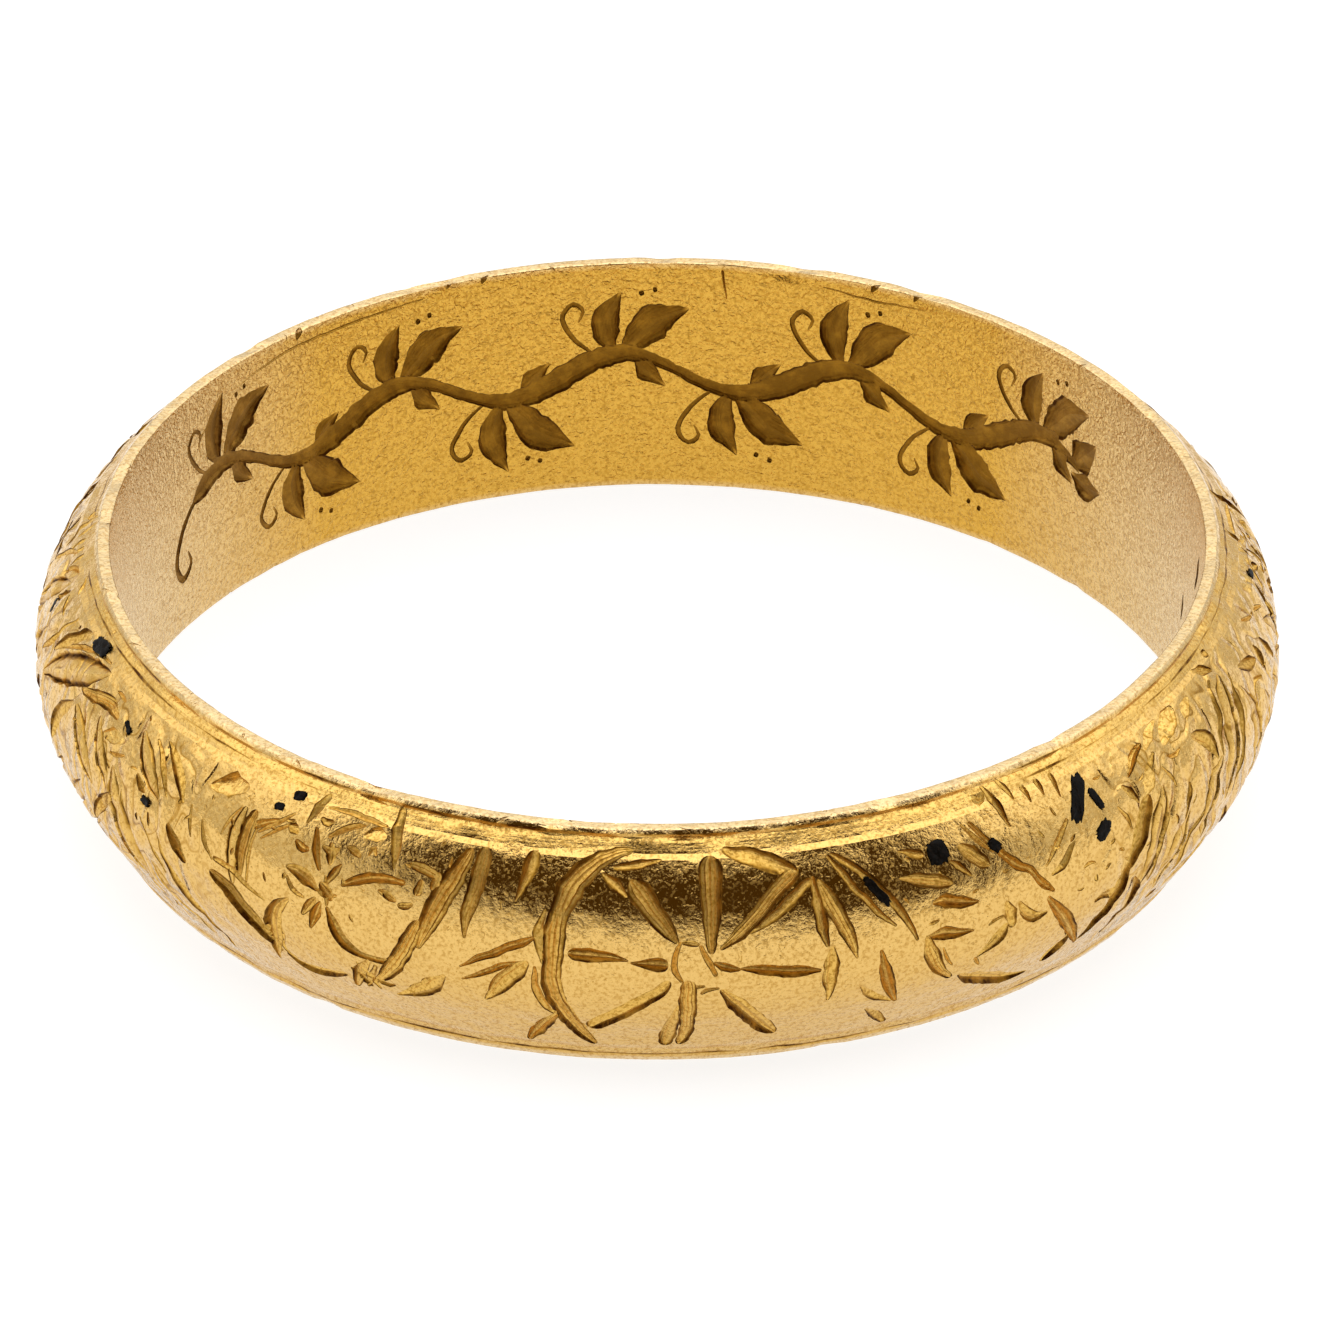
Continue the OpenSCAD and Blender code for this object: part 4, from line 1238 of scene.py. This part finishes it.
def handEngravedGold():
    g = goldFinish
    material = bpy.data.materials.new("hand_engraved_22_carat_gold")
    add = emptyNodes(material)
    place = add("Mapping", inMillimetres, {"Vector": (add("TexCoord"), "Object")})
    depth, inside, rim, chased, cut, wall = (
        (add("Attribute", {"attribute_name": name}), "Fac")
        for name in ("depth", "inside", "rim", "chased", "cut", "wall")
    )
    grain = add("Attribute", {"attribute_name": "grain"}), "Vector"

    # tarnish and painted shade gather in the cuts and hollows by their depth, darkest along their walls, in
    # uneven patches
    blotches = add("TexNoise", {"Scale": 1 / g["blotch"], "Detail": 5, "Roughness": 0.7}, {"Vector": place})
    stretch = (1 / g["striationLength"], 1 / g["striation"], 1.0)
    stretched = add("Mapping", {"Scale": stretch}, {"Vector": grain})
    striation = add("TexNoise", {"Scale": 1.0, "Detail": 3}, {"Vector": stretched})
    deep = add("MapRange", {"From Max": 0.06, "To Max": g["floorDirt"]}, {"Value": depth})
    streaks = add(
        "MapRange", {"From Min": 0.4, "From Max": 0.62, "To Min": 0.3, "To Max": 1.35}, {"Value": striation}
    )
    floorDirt = add("Math", {"operation": "MULTIPLY"}, {0: deep, 1: streaks})
    vineDirt = add(
        "MapRange", {"From Min": 0.002, "From Max": 0.02, "To Max": g["vineDirt"]}, {"Value": depth}
    )
    floors = add("Mix", {"data_type": "FLOAT"}, {"Factor": inside, "A": floorDirt, "B": vineDirt})
    edgeShadeAndDirtMask = add("MapRange", {"From Min": 0.62, "From Max": 0.88}, {"Value": wall})
    sunk = add("Math", {"operation": "MAXIMUM"}, {0: floors, 1: edgeShadeAndDirtMask})
    thinnest = add("MapRange", {"To Min": 0.55, "To Max": 0.75}, {"Value": inside})
    patchy = add("MapRange", {"From Min": 0.36, "From Max": 0.58}, {"Value": blotches, "To Min": thinnest})
    inCuts = add("Math", {"operation": "MULTIPLY"}, {0: sunk, 1: patchy})

    # rounded bodies with thin creases between them, too small for the mesh; the creases are darkened with
    # tarnish and painted shade
    upright = add("Mapping", {"Scale": (1, 1, 0.5)}, {"Vector": place})
    bodies = add(
        "TexNoise",
        {"Scale": 1 / g["body"], "Detail": 0.6, "Roughness": 0.4, "Distortion": 0.5},
        {"Vector": upright},
    )
    fromMiddle = add("Math", {"operation": "SUBTRACT", 1: 0.5}, {0: bodies})
    awayFromCrease = add("Math", {"operation": "ABSOLUTE"}, {0: fromMiddle})
    crease = add(
        "MapRange",
        {
            "interpolation_type": "SMOOTHSTEP",
            "From Min": 0.004, "From Max": 0.024, "To Min": g["creaseDirt"], "To Max": 0,
        },
        {"Value": awayFromCrease},
    )
    creases = add("Math", {"operation": "MULTIPLY"}, {0: crease, 1: chased})
    inCreases = add("Math", {"operation": "MULTIPLY"}, {0: creases, 1: patchy})

    # pits, and a dust of tarnish in the grain of the surface
    pits = add(
        "TexNoise",
        {"Scale": 1 / g["pit"], "Detail": 2, "Roughness": 0.6, "Distortion": 1.2},
        {"Vector": place},
    )
    pitFrom = add("MapRange", {"To Min": 0.64, "To Max": 0.63}, {"Value": inside})
    pitDepth = add("Math", {"operation": "SUBTRACT"}, {0: pits, 1: pitFrom})
    pitted = add("MapRange", {"From Max": 0.09, "To Max": g["pitDirt"]}, {"Value": pitDepth})
    speckle = add("TexNoise", {"Scale": 1 / g["speckle"], "Detail": 3, "Roughness": 0.6}, {"Vector": place})
    mostDust = add("MapRange", {"To Min": g["groundDust"], "To Max": g["cutDust"]}, {"Value": cut})
    dust = add("MapRange", {"From Min": 0.46, "From Max": 0.62}, {"Value": speckle, "To Max": mostDust})
    # all the dark: tarnish, dust and pits, and the painted shade in the cuts, hollows and creases
    marked = add("Math", {"operation": "MAXIMUM"}, {0: inCuts, 1: inCreases})
    grimy = add("Math", {"operation": "MAXIMUM"}, {0: pitted, 1: dust})
    dirtAndShade = add("Math", {"operation": "MAXIMUM", "use_clamp": True}, {0: marked, 1: grimy})

    # colour of the metal, paler on the rims (rubbed, and a painted highlight) and on the inside's left and
    # right (a painted sheen), and over it an amber film that turns brown (tarnish and painted shade)
    # how far to the left or right a point lies, for a painted sheen that makes the inside paler towards its
    # sides
    aside = add("SeparateXYZ", links={"Vector": place})
    off = add("Math", {"operation": "ABSOLUTE"}, {0: (aside, "X")})
    worn = add("MapRange", {"From Min": g["rubbedFrom"], "From Max": g["rubbedTo"]}, {"Value": off})
    filmAndShade = add("MapRange", {"From Max": 0.5, "To Max": 0.8}, {"Value": dirtAndShade})
    black = add("MapRange", {"From Min": 0.45}, {"Value": dirtAndShade})

    polished, unpolished, brightCut, rubbed, amberFilm, tarnish = (
        linear(g[name]) for name in ("polished", "unpolished", "brightCut", "rubbed", "amberFilm", "tarnish")
    )
    # the inside is painted paler towards its sides: a painted sheen
    inner = add("Mix", {"data_type": "RGBA", "A": unpolished, "B": rubbed}, {"Factor": worn})
    engravedMetal = add("Mix", {"data_type": "RGBA", "A": polished, "B": brightCut}, {"Factor": cut})
    # the rims take the pale colour: rubbed metal and a painted highlight
    outer = add("Mix", {"data_type": "RGBA", "B": rubbed}, {"Factor": rim, "A": engravedMetal})
    metal = add("Mix", {"data_type": "RGBA"}, {"Factor": inside, "A": outer, "B": inner})
    filmed = add("Mix", {"data_type": "RGBA", "B": amberFilm}, {"Factor": filmAndShade, "A": metal})
    colour = add("Mix", {"data_type": "RGBA", "B": tarnish}, {"Factor": black, "A": filmed})

    # heights
    wave = add("TexNoise", {"Scale": 1 / g["wave"], "Detail": 1, "Roughness": 0.4}, {"Vector": place})
    worms = add(
        "TexNoise",
        {"Scale": 1 / g["wormSize"], "Detail": 2, "Roughness": 0.5, "Distortion": 1.6},
        {"Vector": place},
    )
    body = add(
        "MapRange",
        {"interpolation_type": "SMOOTHSTEP", "From Max": 0.15, "To Max": g["bodyHeight"]},
        {"Value": awayFromCrease},
    )
    fine = add("Math", {"operation": "MULTIPLY", 1: g["speckleHeight"]}, {0: speckle})
    ground = add("Math", {"operation": "MULTIPLY_ADD", 1: g["waveHeight"]}, {0: wave, 2: fine})
    engraved = add("Math", {"operation": "MULTIPLY_ADD"}, {0: body, 1: chased, 2: ground})
    wormed = add("Math", {"operation": "MULTIPLY_ADD", 1: g["wormHeight"]}, {0: worms, 2: fine})
    stroke = add("Math", {"operation": "MULTIPLY_ADD", 1: g["striationHeight"]}, {0: striation, 2: fine})
    plain = add("Mix", {"data_type": "FLOAT"}, {"Factor": inside, "A": engraved, "B": wormed})
    height = add("Mix", {"data_type": "FLOAT"}, {"Factor": cut, "A": plain, "B": stroke})
    withPits = add("Math", {"operation": "MULTIPLY_ADD", 1: -g["pitHeight"]}, {0: pitted, 2: height})
    bump = add("Bump", {"Strength": 1.0, "Distance": mm}, {"Height": withPits})

    grains = add(
        "MapRange",
        {"From Min": 0.5, "From Max": 0.64, "To Min": g["groundRoughness"], "To Max": g["grainRoughness"]},
        {"Value": speckle},
    )
    smooth = add("Mix", {"data_type": "FLOAT", "B": g["insideRoughness"]}, {"Factor": inside, "A": grains})
    cutSoft = add("Mix", {"data_type": "FLOAT", "B": g["cutRoughness"]}, {"Factor": cut, "A": smooth})
    roughness = add(
        "Math", {"operation": "MULTIPLY_ADD", 1: g["dirtRoughness"], "use_clamp": True}, {0: dirtAndShade, 2: cutSoft}
    )
    shader = add(
        "BsdfPrincipled", {"Metallic": 1.0}, {"Base Color": colour, "Roughness": roughness, "Normal": bump}
    )
    add("OutputMaterial", links={"Surface": shader})
    return material


# Black fired enamel: ground glass melted into the cells, shiny and nearly opaque, brown-black where
# light gets in, and matt where the top has worn. Sizes and heights in mm.
enamelFinish = {
    "glass": "#080502",
    "worn": "#1C1208",
    "roughness": 0.4,
    "wornRoughness": 0.35,
    "specular": 0.09,
    "pit": 0.05,
    "pitHeight": 0.01,
}


def firedEnamel():
    e = enamelFinish
    material = bpy.data.materials.new("black_fired_enamel")
    add = emptyNodes(material)
    place = add("Mapping", inMillimetres, {"Vector": (add("TexCoord"), "Object")})
    pits = add("TexNoise", {"Scale": 1 / e["pit"], "Detail": 2, "Roughness": 0.6}, {"Vector": place})
    worn = add("MapRange", {"From Min": 0.5, "From Max": 0.7}, {"Value": pits})
    colour = add(
        "Mix", {"data_type": "RGBA", "A": linear(e["glass"]), "B": linear(e["worn"])}, {"Factor": worn}
    )
    roughness = add(
        "Math", {"operation": "MULTIPLY_ADD", 1: e["wornRoughness"], 2: e["roughness"]}, {0: worn}
    )
    height = add("Math", {"operation": "MULTIPLY", 1: e["pitHeight"]}, {0: pits})
    bump = add("Bump", {"Distance": mm}, {"Height": height})
    shader = add(
        "BsdfPrincipled",
        {"IOR": 1.5, "Specular IOR Level": e["specular"]},
        {"Base Color": colour, "Roughness": roughness, "Normal": bump},
    )
    add("OutputMaterial", links={"Surface": shader})
    return material


# Studio: a light tent, bright above, open at the front to a dim warm room, over a light table. Strengths
# are of white; the opening's angles are from the front and from level, its foot leaning to one side. At
# the sides and the back a dim gap runs along the tent's foot. The floor's size and the camera's distance
# are in m, the frosting and the aim in mm.
studio = {
    "floorSize": 3.0,
    "sheet": "#888886",
    "frosting": "#8C8C8A",
    "frostingSize": 1 / 0.9,
    "tableGlow": 0.84,
    "tent": 0.9,
    "overhead": 1.95,
    "room": "#4A3716",
    "openingHalfAngle": 63,
    "openingFrom": 8,
    "openingLean": -0.3,
    "openingTo": 62,
    "gapTo": 9,
    "gapShade": 0.3,
    "cameraDistance": 0.2566,
    "cameraElevation": 31.135,
    "cameraLens": 435.7,
    "aim": (0.024, 0.0, 1.949),
}


# Opal acrylic sheet of a light table: matt, milky, and lit evenly from below, so that it takes hardly a
# shadow.
def opalAcrylic():
    material = bpy.data.materials.new("opal_acrylic")
    add = emptyNodes(material)
    place = add("Mapping", inMillimetres, {"Vector": (add("TexCoord"), "Object")})
    frosting = add("TexNoise", {"Scale": 1 / studio["frostingSize"], "Detail": 3}, {"Vector": place})
    colour = add(
        "Mix",
        {"data_type": "RGBA", "A": linear(studio["sheet"]), "B": linear(studio["frosting"])},
        {"Factor": frosting},
    )
    glow = {"Emission Color": (1, 1, 1, 1), "Emission Strength": studio["tableGlow"]}
    shader = add("BsdfPrincipled", {"Roughness": 0.7, "IOR": 1.49} | glow, {"Base Color": colour})
    add("OutputMaterial", links={"Surface": shader})
    return material


def makeFloor():
    half = studio["floorSize"] / 2
    mesh = bpy.data.meshes.new("light_table")
    corners = [(-half, -half, 0), (half, -half, 0), (half, half, 0), (-half, half, 0)]
    mesh.from_pydata(corners, [], [(0, 1, 2, 3)])
    floor = bpy.data.objects.new("light_table", mesh)
    bpy.context.collection.objects.link(floor)
    mesh.materials.append(opalAcrylic())


def makeTent():
    world = bpy.data.worlds.new("light_tent")
    bpy.context.scene.world = world
    add = emptyNodes(world)
    way = add("SeparateXYZ", links={"Vector": (add("TexCoord"), "Generated")})
    level = add("CombineXYZ", links={"X": (way, "X"), "Y": (way, "Y")})
    bearing = add("VectorMath", {"operation": "NORMALIZE"}, {0: level})
    ahead = add("VectorMath", {"operation": "DOT_PRODUCT", 1: (0, -1, 0)}, {0: bearing})

    edge = math.cos(math.radians(studio["openingHalfAngle"]))
    foot, top, gapTop, gapEnd = (
        math.sin(math.radians(angle))
        for angle in (studio["openingFrom"], studio["openingTo"], studio["gapTo"], studio["gapTo"] + 3)
    )
    rising = {"interpolation_type": "SMOOTHSTEP"}
    falling = rising | {"To Min": 1, "To Max": 0}
    acrossEnds = {"From Min": edge - 0.05, "From Max": edge + 0.05}
    across = add("MapRange", rising | acrossEnds, {"Value": (ahead, "Value")})
    lean = {"operation": "MULTIPLY_ADD", 1: -studio["openingLean"]}
    leaning = add("Math", lean, {0: (way, "X"), 2: (way, "Z")})
    above = add("MapRange", rising | {"From Min": foot - 0.015, "From Max": foot + 0.015}, {"Value": leaning})
    below = add("MapRange", falling | {"From Min": top - 0.02, "From Max": top + 0.02}, {"Value": (way, "Z")})
    upright = add("Math", {"operation": "MULTIPLY"}, {0: above, 1: below})
    opening = add("Math", {"operation": "MULTIPLY"}, {0: upright, 1: across})
    aside = add("Math", {"operation": "SUBTRACT", 0: studio["gapShade"]}, {1: across})
    gap = add("MapRange", falling | {"From Min": gapTop, "From Max": gapEnd}, {"Value": (way, "Z")})
    dim = add("Math", {"operation": "MULTIPLY"}, {0: gap, 1: aside})
    shaded = add("Math", {"operation": "MAXIMUM", "use_clamp": True}, {0: opening, 1: dim})
    brightness = {"From Min": 0.3, "From Max": 0.9, "To Min": studio["tent"], "To Max": studio["overhead"]}
    glow = add("MapRange", brightness, {"Value": (way, "Z")})
    cloth = add("CombineColor", links={"Red": glow, "Green": glow, "Blue": glow})
    colour = add("Mix", {"data_type": "RGBA", "B": linear(studio["room"])}, {"Factor": shaded, "A": cloth})
    add("OutputWorld", links={"Surface": add("Background", links={"Color": colour})})


def makeCamera():
    lens = bpy.data.cameras.new("camera")
    camera = bpy.data.objects.new("camera", lens)
    bpy.context.collection.objects.link(camera)
    tilt = math.radians(studio["cameraElevation"])
    centre = Vector((0, 0, band["height"] / 2 * mm))
    camera.location = centre + studio["cameraDistance"] * Vector((0, -math.cos(tilt), math.sin(tilt)))
    aim = Vector(studio["aim"]) * mm
    camera.rotation_euler = (aim - camera.location).to_track_quat("-Z", "Y").to_euler()
    lens.sensor_width = 36
    lens.lens = studio["cameraLens"]
    lens.clip_start = 0.01
    lens.clip_end = 20
    bpy.context.scene.camera = camera


bandPiece = makeBand(outsideCuts() + betweenCuts() + rimNicks() + vineCuts())
bandPiece.data.materials.append(handEngravedGold())
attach(bandPiece, "root")
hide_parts("band")

enamelPiece = makeEnamel()
enamelPiece.data.materials.append(firedEnamel())
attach(enamelPiece, "root")
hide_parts("enamel")

makeFloor()
makeTent()
makeCamera()
bpy.context.scene.view_settings.view_transform = "Standard"
print("studio: light table, tent and camera are in place")
